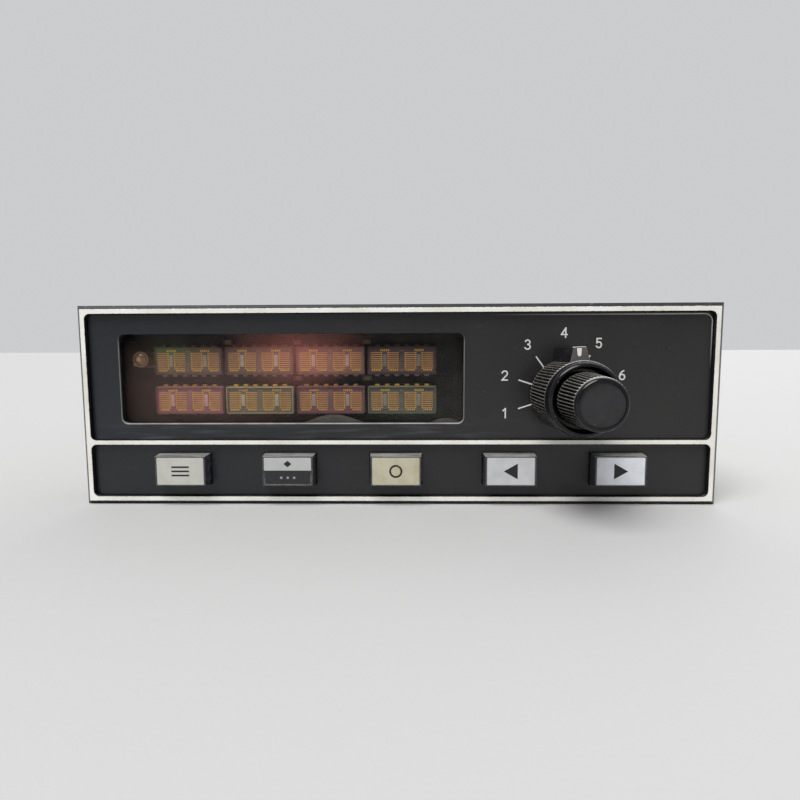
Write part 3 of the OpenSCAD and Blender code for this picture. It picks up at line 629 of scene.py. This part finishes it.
# ---------------------------------------------------------------- carried CAD nodes


def paint(node, look):
    """Gives a CAD node its material."""
    data = nodes[node].data
    data.materials.clear()
    data.materials.append(look)


def soften(node, width, angle=32):
    """Rounds a CAD node's sharp edges with modifiers, which leave its mesh as it is."""
    part = nodes[node]
    weld = part.modifiers.new("weld", "WELD")
    weld.merge_threshold = 0.002 * MM
    bevel = part.modifiers.new("bevel", "BEVEL")
    bevel.width = width * MM
    bevel.segments = 2
    bevel.limit_method = "ANGLE"
    bevel.angle_limit = math.radians(angle)
    bevel.use_clamp_overlap = True
    part.modifiers.new("shade", "WEIGHTED_NORMAL").keep_sharp = True


# ---------------------------------------------------------------- numerals

# Each numeral is (width, strokes) with a height of 1. Corners sharper than a right angle
# start a new stroke.
NUMERALS = {
    1: (0.24, [[(0, 0.78), (0.24, 1)], [(0.24, 1), (0.24, 0)]]),
    2: (0.58, [[*arc(0.29, 0.72, 0.29, 0.28, 165, -35), (0, 0)], [(0, 0), (0.58, 0)]]),
    3: (0.56, [[*arc(0.27, 0.76, 0.25, 0.24, 155, -80)], [*arc(0.27, 0.26, 0.29, 0.26, 80, -155)]]),
    4: (0.62, [[(0.46, 0), (0.46, 1)], [(0.46, 1), (0, 0.3)], [(0, 0.3), (0.62, 0.3)]]),
    5: (0.56, [[(0.52, 1), (0.08, 1), (0.06, 0.53)], [*arc(0.27, 0.32, 0.29, 0.32, 130, -150)]]),
    6: (0.58, [[*arc(0.29, 0.3, 0.29, 0.3, 180, -180)], [*arc(0.58, 0.3, 0.58, 0.7, 180, 105)]]),
    7: (0.56, [[(0, 1), (0.56, 1)], [(0.56, 1), (0.18, 0)]]),
}
INK = 0.03              # how far ink stands out


def numeral(shape, number, x, z, height, line, front):
    """Draws a numeral centred on x and z, as thin raised strokes on the plane at front."""
    span, strokes = NUMERALS[number]
    tall = height - line
    left = x - span * tall / 2
    for layer, points in enumerate(strokes):
        placed = [(left + px * tall, z + (pz - 0.5) * tall) for px, pz in points]
        shape.stroke(placed, line, front - INK - 0.004 * layer, front + INK)


# ---------------------------------------------------------------- the front

bezel = Box("bezel")
upper = Box("upper_faceplate")
lower = Box("lower_faceplate")
glass = Box("window_filter")
LAP = 1.3             # the filter reaches this far behind the window's edge
PIN_OUT = 0.45          # how far display pins stand out of the body
cell = Box("photocell")
CELL_X, CELL_Z = cell.mid.x, cell.mid.z
GOLD = gold_look("display_gold", srgb(232, 182, 104), srgb(198, 138, 80))
BRIGHT_GOLD = gold_look("display_bright_gold", srgb(240, 192, 78), srgb(206, 146, 60))
KEYS = ["page", "message", "enter", "previous", "next"]
key_boxes = {k: Box(f"{k}_legend") for k in KEYS}
shaft = Box("outer_shaft")
knob_x, knob_z = shaft.mid.x, shaft.mid.z
DIAL_X, DIAL_Z = 41.1, 2.7      # middle of the dial's print
NUMBER_R = 15.2                 # from there to the middle of each number


def front_frame():
    paint("bezel", bezel_look(bezel.low.y))
    soften("bezel", 0.16)
    opening = (glass.mid.x, glass.mid.z, glass.size.x - 2 * LAP, glass.size.z - 2 * LAP, 1.6)
    paint("upper_faceplate", faceplate_look(upper, opening))
    soften("upper_faceplate", 0.15)
    paint("lower_faceplate", faceplate_look(lower))
    soften("lower_faceplate", 0.1)
    paint("window_filter", window_look(glass.mid, glass.size))
    paint("front_board", front_board_look())
    paint("display_sockets", moulded_look("socket_black", srgb(28, 26, 26), 0.5))


def dial_print():
    """A mark and a number for each selector position, clockwise from the lower left."""
    ink = ink_look("white_ink", srgb(216, 216, 214))
    marks = Shape()
    numbers = Shape()
    for number, turn in enumerate((198, 162, 126, 90, 56, 18, -18), 1):
        a = math.radians(turn)
        line = [(DIAL_X + r * math.cos(a), DIAL_Z + r * math.sin(a)) for r in (8.2, 11.45)]
        marks.stroke(line, 0.32, upper.low.y - INK, upper.low.y + INK)
        x, z = DIAL_X + NUMBER_R * math.cos(a), DIAL_Z + NUMBER_R * math.sin(a)
        numeral(numbers, number, x, z, 2.58, 0.33, upper.low.y)
    marks.piece("dial_marks", "unit", [ink])
    numbers.piece("dial_numbers", "unit", [ink])


# ---------------------------------------------------------------- displays

TINTS = [(116, 92, 84), (118, 96, 86), (148, 106, 100), (96, 74, 74),
         (158, 104, 106), (118, 114, 90), (134, 92, 98), (102, 100, 88)]
CHIPS = [(164, 150, 134), (190, 176, 160), (206, 166, 154), (138, 132, 124),
         (214, 164, 164), (186, 178, 160), (176, 156, 150), (150, 146, 140)]
LIDS = {6: (0.24, (176, 172, 140)), 8: (0.16, (140, 140, 118))}      # lids with a light edge
LIT_PIN_SHARE = {5: 0.62, 6: 1.0, 7: 0.66, 8: 0.9}                     # share of upper pins painted lit gold; the rest painted dull, as in shade


def display_looks(index, tint):
    """Ceramic, die bed, chip, lid edge, upper and lower pin, and the two golds of one display."""
    ceramic = Look(f"display_ceramic_{index}", srgb(*tint), 0.3, Coat_Weight=0.35)
    ceramic.mottle(2.4, 0.25).grain(0.2, 0.004, 0.06)
    if index == 1:
        green = ceramic.reach(CELL_X + 7.5, CELL_Z + 2, 9, 6.5)
        ceramic.tint(ceramic.between(green, 1.0, 0.2, 0.0, 0.75), srgb(84, 118, 70))
    ceramic.dust(1.2, 0.1, 0.15, PALE_DUST, 0.5)
    under = [0.7 * c + 0.3 * g for c, g in zip(tint, (176, 98, 58))]
    bed = Look(f"display_bed_{index}", srgb(*under), 0.4)
    bed.mottle(1.2, 0.25)
    chip = Look(f"display_chip_{index}", srgb(*CHIPS[index - 1]), 0.35)
    chip.mottle(0.8, 0.2).grain(0.2, 0.006, 0.05)
    _, edge = LIDS.get(index, (0, [0.92 * c + 14 for c in tint]))
    lid = Look(f"display_lid_{index}", srgb(*edge), 0.2)
    lid.mottle(1.5, 0.3).grain(0.3, 0.01)
    # Upper pins painted between dull gold, as shade, and bright gold, as light from above.
    pin_light_share = LIT_PIN_SHARE.get(index, 0)
    pin = srgb(*[d + pin_light_share * (g - d) for d, g in zip((92, 74, 62), (232, 176, 66))])
    upper_pin = gold_look(f"display_pin_{index}", pin, srgb(128, 84, 52))
    # Lower pins painted dull-lit in the upper row and dark, as painted shadow, in the lower row.
    low = (150, 118, 92) if index <= 4 else (40, 34, 30)
    lower_pin = gold_look(f"display_low_pin_{index}", srgb(*low), srgb(96, 70, 54))
    pins = [upper_pin, lower_pin]
    return [ceramic.done(), bed.done(), chip.done(), lid.done(), *pins, GOLD, BRIGHT_GOLD]


def display(index, tint):
    """A four-character display: ceramic tray, gold-lined dot beds, driver chips, lid edge, pins."""
    node = f"display_module_{index}"
    box = Box(node)
    x, z, front, back = box.mid.x, box.mid.z, box.low.y, box.high.y
    width, height = box.size.x, box.size.z - 2 * PIN_OUT
    ceramic, bed, chip, lid, upper_pin, lower_pin, gold, bright = range(8)
    floor = front + 0.5
    shape = Shape()
    shape.slab(x, z, width - 0.1, height, floor, back - 0.1, ceramic, 0.45, 0.15)
    rim, _ = LIDS.get(index, (0.13, None))
    outer = rounded_rectangle(x, z, width - 0.35, height - 0.3, 0.5)
    ring = [(outer, floor + 0.05), (outer, front + 0.1), (inset(outer, 0.08), front)]
    ring += [(inset(outer, rim), front), (inset(outer, rim), floor + 0.05)]
    shape.skin([[(px, y, pz) for px, pz in line] for line, y in ring], lid)
    for group in (-4.35, 4.35):
        middle = x + group
        shape.slab(middle, z - 0.15, 7.3, 4.5, floor - 0.04, floor + 0.1, bed, 0.1)
        shape.slab(middle, z + 0.1, 1.55, 4.7, floor - 0.06, floor + 0.1, ceramic, 0.06)
        shape.slab(middle, z, 0.95, 3.0, floor - 0.3, floor, chip, 0.06, 0.06)
        for i in range(5):
            shape.plate(middle + 0.5 * (i - 2), z + 2.56, 0.28, 0.52, floor - 0.12, floor, bright)
        for side in (-1, 1):
            start, end = middle + side * 0.8, middle + side * 3.5
            for row in range(9):
                level = z + 1.95 - 0.49 * row
                line = [(start, level), (end, level)]
                shape.stroke(line, 0.14, floor - 0.1, floor, gold)
                for dot in (start, end) if side < 0 < group else (start,):
                    shape.plate(dot, level - 0.05, 0.32, 0.26, floor - 0.16, floor, bright)
            for i in range(5):
                shape.plate(middle + side * (1.25 + 0.48 * i), z - 2.46, 0.3, 0.42,
                            floor - 0.1, floor, bright)
    for i in (-1, 0, 1):
        for level in (-2.45, 2.5):
            shape.plate(x + 0.42 * i, z + level, 0.14, 0.14, floor - 0.05, floor, gold)
    for i in range(6):
        pin = x + 2.54 * (i - 2.5)
        for side, look in ((1, upper_pin), (-1, lower_pin)):
            foot = z + side * (height / 2 + 0.2)
            shape.slab(pin, foot, 1.15, 0.5, floor + 0.35, back - 1.2, look, 0.08, 0.06)
            shape.slab(pin, foot, 0.6, 0.4, back - 1.3, back, look, 0.05)
    shape.piece(f"display_{index}", "unit", display_looks(index, tint), "display_ceramic", [node])


def front_board_parts():
    """Chip capacitors on the display board, and the sealant that bulges behind the window."""
    board = Box("front_board")
    upper_row, lower_row = Box("display_module_1"), Box("display_module_5")
    between_rows = (upper_row.mid.z + lower_row.mid.z) / 2 + 0.4
    body = moulded_look("chip_capacitor", srgb(144, 106, 84), 0.4)
    end = metal_look("chip_solder", srgb(104, 96, 88), 0.4)
    shape = Shape()
    for x, z in [(-44.65, 16.0), (-26.35, 16.0), (-8.05, 16.0), (-26.35, between_rows),
                 (-8.05, between_rows)]:
        shape.slab(x, z, 1.5, 1.25, board.low.y - 1.3, board.low.y, 0, 0.08, 0.08)
        for side in (-1, 1):
            shape.slab(x + side * 0.95, z, 0.5, 1.3, board.low.y - 1.3, board.low.y, 1, 0.08, 0.08)
    shape.piece("display_board_capacitors", "unit", [body, end])
    seal = Look("window_seal", srgb(112, 106, 96), 0.45)
    seal.mottle(2.5, 0.35).grain(0.3, 0.02, 0.05)
    low, back = glass.low.z + LAP, glass.high.y
    shape = Shape()
    for left, right, tall in ((-25.0, -7.8, 1.9), (7.6, 17.0, 0.9)):
        hump = []
        for i in range(1, 16):
            rise = (tall + 0.3) * math.sin(math.pi * i / 16) ** 1.4
            hump.append((left + (right - left) * i / 16, low - 0.3 + rise))
        outline = [(left, low - 0.5), (right, low - 0.5), *reversed(hump)]
        shape.prism(outline, back + 0.02, back + 0.3)
    shape.piece("window_sealant", "unit", [seal.done()])


def photocell():
    """A light sensor: plated can, brown window and dome, and the tab on its rim."""
    x, z, front, back = CELL_X, CELL_Z, cell.low.y, cell.high.y
    r = cell.size.x / 2
    can = gold_look("sensor_can", srgb(158, 126, 100), srgb(104, 78, 58))
    dome = Look("sensor_dome", srgb(140, 96, 60), 0.12, Coat_Weight=0.8)
    # Painted highlight: a pale spot near the dome's middle, a little to the left.
    dome.tint(dome.between(dome.reach(x - 0.4, z + 0.05), 0.9, 0.1, 0.0, 0.8), srgb(232, 196, 140))
    dome.mottle(1.0, 0.2)
    shape = Shape()
    wall = [(r - 0.25, back), (r, back - 0.1), (r, back - 0.5), (r - 0.2, back - 0.6)]
    wall += [(r - 0.2, front + 0.5), (r - 0.32, front + 0.38), (1.72, front + 0.42)]
    wall += [(1.68, front + 0.7), (0.3, front + 0.7)]
    shape.lathe(wall, x, z, 48, 0)
    curve = [(1.66 * math.cos(a), front + 0.72 - 0.68 * math.sin(a))
             for a in [math.radians(d) for d in (0, 15, 30, 45, 60, 75, 87)]]
    shape.lathe([(1.66, front + 1.2), *curve], x, z, 48, 1)
    tab = math.radians(222)
    line = [(x + d * math.cos(tab), z + d * math.sin(tab)) for d in (r - 0.6, r - 0.25)]
    shape.stroke(line, 0.7, front + 0.45, front + 0.9, 0)
    shape.piece("light_sensor", "unit", [can, dome.done()], "sensor_can", ["photocell"])


# ---------------------------------------------------------------- keys

def keys():
    cap = key_look()
    milky = legend_look("legend_milky", srgb(192, 191, 184), srgb(182, 178, 162))
    yellowed = legend_look("legend_yellowed", srgb(188, 183, 160), srgb(172, 160, 126))
    grey = legend_look("legend_grey", srgb(194, 194, 196), srgb(176, 177, 180))
    # Painted light: the next key's legend is the grey legend painted brighter, making up for the
    # knob's shade.
    grey_painted_brighter = legend_look("legend_grey_painted_brighter", srgb(228, 230, 236), srgb(206, 210, 218))
    plates = {"page": milky, "enter": yellowed, "previous": grey, "next": grey_painted_brighter}
    plates["message"] = split_legend_look(key_boxes["message"])
    black = ink_look("black_ink", srgb(22, 22, 24))
    worn = ink_look("worn_ink", srgb(30, 29, 28), 0.3, srgb(196, 188, 158))
    for name in KEYS:
        paint(f"{name}_key", cap)
        soften(f"{name}_key", 0.28)
        paint(f"{name}_legend", plates[name])
        soften(f"{name}_legend", 0.06)
    for name, side in (("previous", -1), ("next", 1)):
        box = key_boxes[name]
        tip = (box.mid.x + side * 1.75, box.mid.z)
        back = box.mid.x - side * 1.65
        corners = [tip, (back, box.mid.z + side * 1.95), (back, box.mid.z - side * 1.95)]
        shape = Shape().prism(corners, box.low.y - INK, box.low.y + INK)
        shape.piece(f"{name}_arrow", f"{name}_button", [black])
    key_symbols(black, worn)


def key_symbols(black, worn):
    """Three bars for page, a ring for enter, and a diamond over three dots for message."""
    page, enter, message = (key_boxes[name].mid for name in ("page", "enter", "message"))
    front, back = key_boxes["page"].low.y - INK, key_boxes["page"].low.y + INK
    bars = Shape()
    for up in (-1.05, 0, 1.05):
        bars.stroke([(page.x - 2, page.z + up), (page.x + 2, page.z + up)], 0.4, front, back)
    bars.piece("page_symbol", "page_button", [black])
    ring = Shape().stroke(arc(enter.x, enter.z, 1.4, 1.4, 0, 360, 24), 0.45, front, back)
    ring.piece("enter_symbol", "enter_button", [worn])
    x, z = message.x, message.z + 1.85
    corners = [(x + 1.0, z), (x, z + 0.8), (x - 1.0, z), (x, z - 0.8)]
    Shape().prism(corners, front, back).piece("message_symbol", "message_button", [black])
    dots = Shape()
    for across in (-1.6, 0, 1.6):
        dots.plate(message.x + across, message.z - 1.62, 0.55, 0.55, front, back)
    grey = ink_look("grey_ink", srgb(150, 150, 152), 0.15, srgb(60, 60, 62))
    dots.piece("message_dots", "message_button", [grey])


# ---------------------------------------------------------------- knobs


def flutes(count, depth, start, end, fade=0.5):
    """Rounded ribs with sharp valleys between start (back) and end (front), in y."""

    def cut(turn, y):
        if y > start or y < end:
            return 0.0
        near = min(1.0, (start - y) / fade, (y - end) / fade)
        rib = abs(math.cos(count * turn / 2))
        return depth * near * (1 - rib ** 0.8)

    return cut


def outer_knob():
    """A ribbed ring with a rounded glossy lip round a well."""
    box = Box("outer_knob")
    front, back = box.low.y, box.high.y
    r = 8.7
    ribs = flutes(68, 0.55, back - 0.3, front + 2.15)
    side = [(r - 0.45, back), (r - 0.05, back - 0.25), (r, back - 0.3), (r, back - 0.8)]
    side += [(r, y) for y in (-14, -16, -18, -20, -22, -24, front + 2.65)]
    side += [(r, front + 2.2), (r - 0.12, front + 2.1)]
    nose = [(r - 0.22 - 1.0 * (1 - math.cos(a)), front + 1.95 * (1 - math.sin(a)))
            for a in [math.radians(d) for d in range(0, 91, 15)]]
    ring = [(7.42, front), (7.34, front + 0.06), (7.3, front + 0.2)]
    well = [(7.28, front + 0.6), (7.26, front + 3.25), (7.1, front + 3.4), (4.7, front + 3.4)]
    hub = [(4.6, front + 3.4), (3.05, front + 3.4), (3.05, front + 4.4), (3.05, front + 5.4)]
    shape = Shape()
    shape.lathe(side + nose + ring + well + hub, knob_x, knob_z, 68 * 8, 0, ribs)
    pointer(shape, back)
    skin = knob_look("knob_black", srgb(17, 17, 20), 0.15, [(r, back), (r, front + 2.1)])
    looks = [skin, pointer_look()]
    shape.piece("mode_knob", "mode_selector", looks, "knob_black", ["outer_knob"], 30)


POINTER_TURN = math.radians(2)


def turned(points):
    """Points about the knob axis, turned to the pointer's rest direction."""
    c, s = math.cos(POINTER_TURN), math.sin(POINTER_TURN)
    return [(knob_x + x * c - z * s, knob_z + x * s + z * c) for x, z in points]


POINTER_FRONT = -23.0
POINTER_TOP = 11.7


def pointer_look():
    """The pointer's front is painted lighter grey as painted light, and its upper front edges carry a
    painted highlight in patches.
    """
    look = Look("pointer_black", srgb(24, 24, 27), 0.3)
    # Painted light: the front face lighter grey.
    look.tint(look.facing("Y", -0.75, -0.96), srgb(86, 82, 80), 0.25)
    # Painted highlight on the upper and right-hand front edges, broken into patches.
    wear_and_highlight_patches = look.between(look.noise(1.3, 3), 0.26, 0.4, 0.3, 1.0)
    edge = look.between(look.axis("Y"), POINTER_FRONT + 0.55, POINTER_FRONT + 0.35)
    lit_upper_side = look.math("MAXIMUM", look.facing("Z", 0.25, 0.6), look.facing("X", 0.3, 0.7))
    look.tint(look.both(look.both(edge, lit_upper_side), wear_and_highlight_patches), srgb(226, 224, 220), 0.3)
    look.mottle(2, 0.2).grain(0.14, 0.004, 0.04)
    return look.dust(1.1, 0.12, 0.2, PALE_DUST, 0.6).done()


def pointer(shape, back):
    """The pointer block, which narrows towards its rounded front."""

    def outline(foot, top):
        right = [(foot, 6.2), (foot, 8.75), (top + 0.2, POINTER_TOP - 0.15), (top, POINTER_TOP)]
        return turned(right + [(-x, z) for x, z in reversed(right)])

    face = outline(2.2, 1.3)
    rings = [(outline(2.75, 2.1), back - 0.2), (face, POINTER_FRONT + 0.22),
             (inset(face, 0.07), POINTER_FRONT + 0.06), (inset(face, 0.22), POINTER_FRONT)]
    shape.skin([[(x, y, z) for x, z in line] for line, y in rings], 1)


def index_line():
    """The white line on the pointer, from its top edge down."""
    top, foot = POINTER_TOP - 0.34, POINTER_TOP - 1.72
    outline = turned([(0.4, top), (-0.66, top), *arc(-0.13, foot, 0.42, 0.42, 180, 360, 8)])
    shape = Shape().prism(outline, POINTER_FRONT - 0.03, POINTER_FRONT + 0.3)
    ink = ink_look("index_white", srgb(236, 232, 226))
    shape.piece("pointer_line", "mode_selector", [ink])


def inner_knob():
    """A tapered ribbed knob with a rounded lip round a dull disc."""
    box = Box("inner_knob")
    front = box.low.y
    skirt = front + 11.1
    r0, r1 = 6.2, 5.66
    lip = 0.85
    ribs = flutes(48, 0.55, skirt - 0.2, front + 1.1)

    def radius(y):
        return r0 + (r1 - r0) * (skirt - y) / (skirt - front - 1)

    side = [(3.0, skirt + 2.4), (4.4, skirt + 2.4), (4.4, skirt), (r0 - 0.3, skirt)]
    side += [(r0 - 0.03, skirt - 0.15)]
    side += [(radius(y), y) for y in [skirt - 0.2 - 0.7 * i for i in range(14)]]
    side += [(radius(front + 1.15), front + 1.15), (r1 - 0.1, front + 1.0)]
    nose = [(r1 - 0.16 - lip * (1 - math.cos(a)), front + lip * (1 - math.sin(a)))
            for a in [math.radians(d) for d in range(0, 91, 15)]]
    face = [(4.78, front), (4.72, front + 0.06), (4.7, front + 0.35), (2.0, front + 0.5)]
    shape = Shape()
    shape.lathe(side + nose + face, knob_x, knob_z, 48 * 10, 0, ribs)
    skin = knob_look("value_knob_black", srgb(16, 16, 19), 0.15, [(r0, skirt), (r1, front + 1.1)])
    shape.piece("value_knob", "value_selector", [skin], "knob_black", ["inner_knob"], 30)
    disc = Shape()
    cap = Box("inner_knob_cap")
    disc.lathe([(4.3, cap.high.y), (4.68, cap.high.y - 0.05), (4.68, cap.low.y + 0.1),
                (4.6, cap.low.y), (3.0, cap.low.y), (1.0, cap.low.y)], knob_x, knob_z, 96)
    face_look = knob_look("knob_cap", srgb(47, 46, 48), 0.6)
    disc.piece("value_knob_disc", "value_selector", [face_look], "knob_cap", ["inner_knob_cap"])


# ---------------------------------------------------------------- the rest


def hidden_front_parts():
    steel = metal_look("shaft_steel", srgb(190, 190, 192), 0.3, 0.05, (1, 1, 1))
    black_steel = metal_look("screw_steel", srgb(70, 70, 74), 0.35)
    nickel = metal_look("nickel_plate", srgb(205, 202, 192), 0.24, tarnish=srgb(150, 138, 112))
    black = moulded_look("black_moulding", srgb(30, 30, 31), 0.45)
    cream = moulded_look("plunger_plastic", srgb(206, 200, 184), 0.4)
    for node in ("outer_shaft", "inner_shaft"):
        paint(node, steel)
    for node in ("outer_knob_set_screw", "inner_knob_set_screw", "chassis_screws"):
        paint(node, black_steel)
    for node in ("selector_bushing", "selector_nut", "jack_screws", "antenna_connector",
                 "rear_connector", "board_standoffs", "board_screws"):
        paint(node, nickel)
    for node in ("key_switches", "encoder", "power_regulators", "processor_chips"):
        paint(node, black)
    for name in KEYS:
        paint(f"{name}_plunger", cream)
    paint("rotary_switch", moulded_look("switch_body", srgb(42, 56, 104), 0.35))


def chassis():
    alloy = chromate_look()
    for node in ("chassis_tray", "top_cover", "rear_panel"):
        paint(node, alloy)
    fins = metal_look("black_anodised", srgb(34, 34, 37), 0.4, 0.12, (1, 1, 30))
    paint("heat_sink", fins)


def inner_parts():
    green = board_look("circuit_board", srgb(28, 70, 44), srgb(52, 104, 66))
    for node in ("main_board", "receiver_board"):
        paint(node, green)
    paint("receiver_shield", metal_look("tin_plate", srgb(196, 196, 194), 0.3))
    paint("filter_capacitors", sleeve_look("capacitor_sleeve", srgb(30, 44, 96), srgb(170, 176, 190)))
    paint("backup_battery", sleeve_look("battery_sleeve", srgb(186, 158, 62), srgb(60, 60, 60)))
    ribbon_cable = Look("ribbon_film", srgb(150, 150, 154), 0.3)
    wires = ribbon_cable.between(
        ribbon_cable.math("PINGPONG", ribbon_cable.axis("X"), 0.635), 0.1, 0.5)
    ribbon_cable.bump(wires, 0.3)
    paint("front_ribbon", ribbon_cable.mottle(3, 0.1).done())


# ---------------------------------------------------------------- stage

CAMERA_AT = (3.18, -143.45, 13.82)
CAMERA_YAW = -1.095
CAMERA_PITCH = 5.364
CAMERA_ROLL = -0.23
CAMERA_LENS = 24
SENSOR = 36


def camera():
    data = bpy.data.cameras.new("camera")
    data.lens = CAMERA_LENS
    data.sensor_width = SENSOR
    data.clip_start = 5 * MM
    made = bpy.data.objects.new("camera", data)
    bpy.context.scene.collection.objects.link(made)
    made.location = Vector(CAMERA_AT) * MM
    heading = Euler((0, 0, math.radians(-CAMERA_YAW))).to_matrix()
    tilt = Euler((math.radians(90 - CAMERA_PITCH), 0, 0)).to_matrix()
    roll = Euler((0, 0, math.radians(CAMERA_ROLL))).to_matrix()
    made.rotation_euler = (heading @ tilt @ roll).to_euler()
    bpy.context.scene.camera = made


def sun(name, towards, strength, spread, colour=(1, 1, 1)):
    """A very wide soft lamp far away; towards points from the object to the lamp."""
    data = bpy.data.lights.new(name, "SUN")
    data.energy = strength
    data.angle = math.radians(spread)
    data.color = colour
    made = bpy.data.objects.new(name, data)
    bpy.context.scene.collection.objects.link(made)
    made.rotation_euler = Vector(towards).to_track_quat("Z", "Y").to_euler()


def studio():
    """A soft lamp above and in front, a weaker one behind, and a room that is dimmer in front."""
    sun("overhead", (-0.3, -0.5, 1.0), 3.6, 38)
    sun("rear_fill", (0.35, 1.0, 0.6), 0.9, 60)
    world = bpy.data.worlds.new("studio")
    bpy.context.scene.world = world
    world.use_nodes = True
    tree = world.node_tree
    place = tree.nodes.new("ShaderNodeTexCoord")
    parts = tree.nodes.new("ShaderNodeSeparateXYZ")
    tree.links.new(place.outputs["Generated"], parts.inputs["Vector"])
    spread = tree.nodes.new("ShaderNodeMapRange")
    spread.inputs["From Min"].default_value = -0.6
    spread.inputs["From Max"].default_value = 0.4
    spread.inputs["To Min"].default_value = 0.26
    spread.inputs["To Max"].default_value = 0.62
    tree.links.new(parts.outputs["Y"], spread.inputs["Value"])
    background = tree.nodes["Background"]
    background.inputs["Color"].default_value = (0.96, 0.98, 1.0, 1)
    tree.links.new(spread.outputs["Result"], background.inputs["Strength"])
    bpy.context.scene.view_settings.view_transform = "Standard"


def floor():
    half = 15.0
    level = cad_low.z
    data = bpy.data.meshes.new("floor")
    corners = [(-half, -half, level), (half, -half, level), (half, half, level), (-half, half, level)]
    data.from_pydata(corners, [], [(0, 1, 2, 3)])
    look = Look("floor", srgb(182, 182, 181), 0.7)
    data.materials.append(look.grain(0.6, 0.02).done())
    made = bpy.data.objects.new("floor", data)
    bpy.context.scene.collection.objects.link(made)


camera()
studio()
floor()
front_frame()
dial_print()
for number, shade in enumerate(TINTS, 1):
    display(number, shade)
photocell()
front_board_parts()
keys()
outer_knob()
index_line()
inner_knob()
hidden_front_parts()
chassis()
inner_parts()
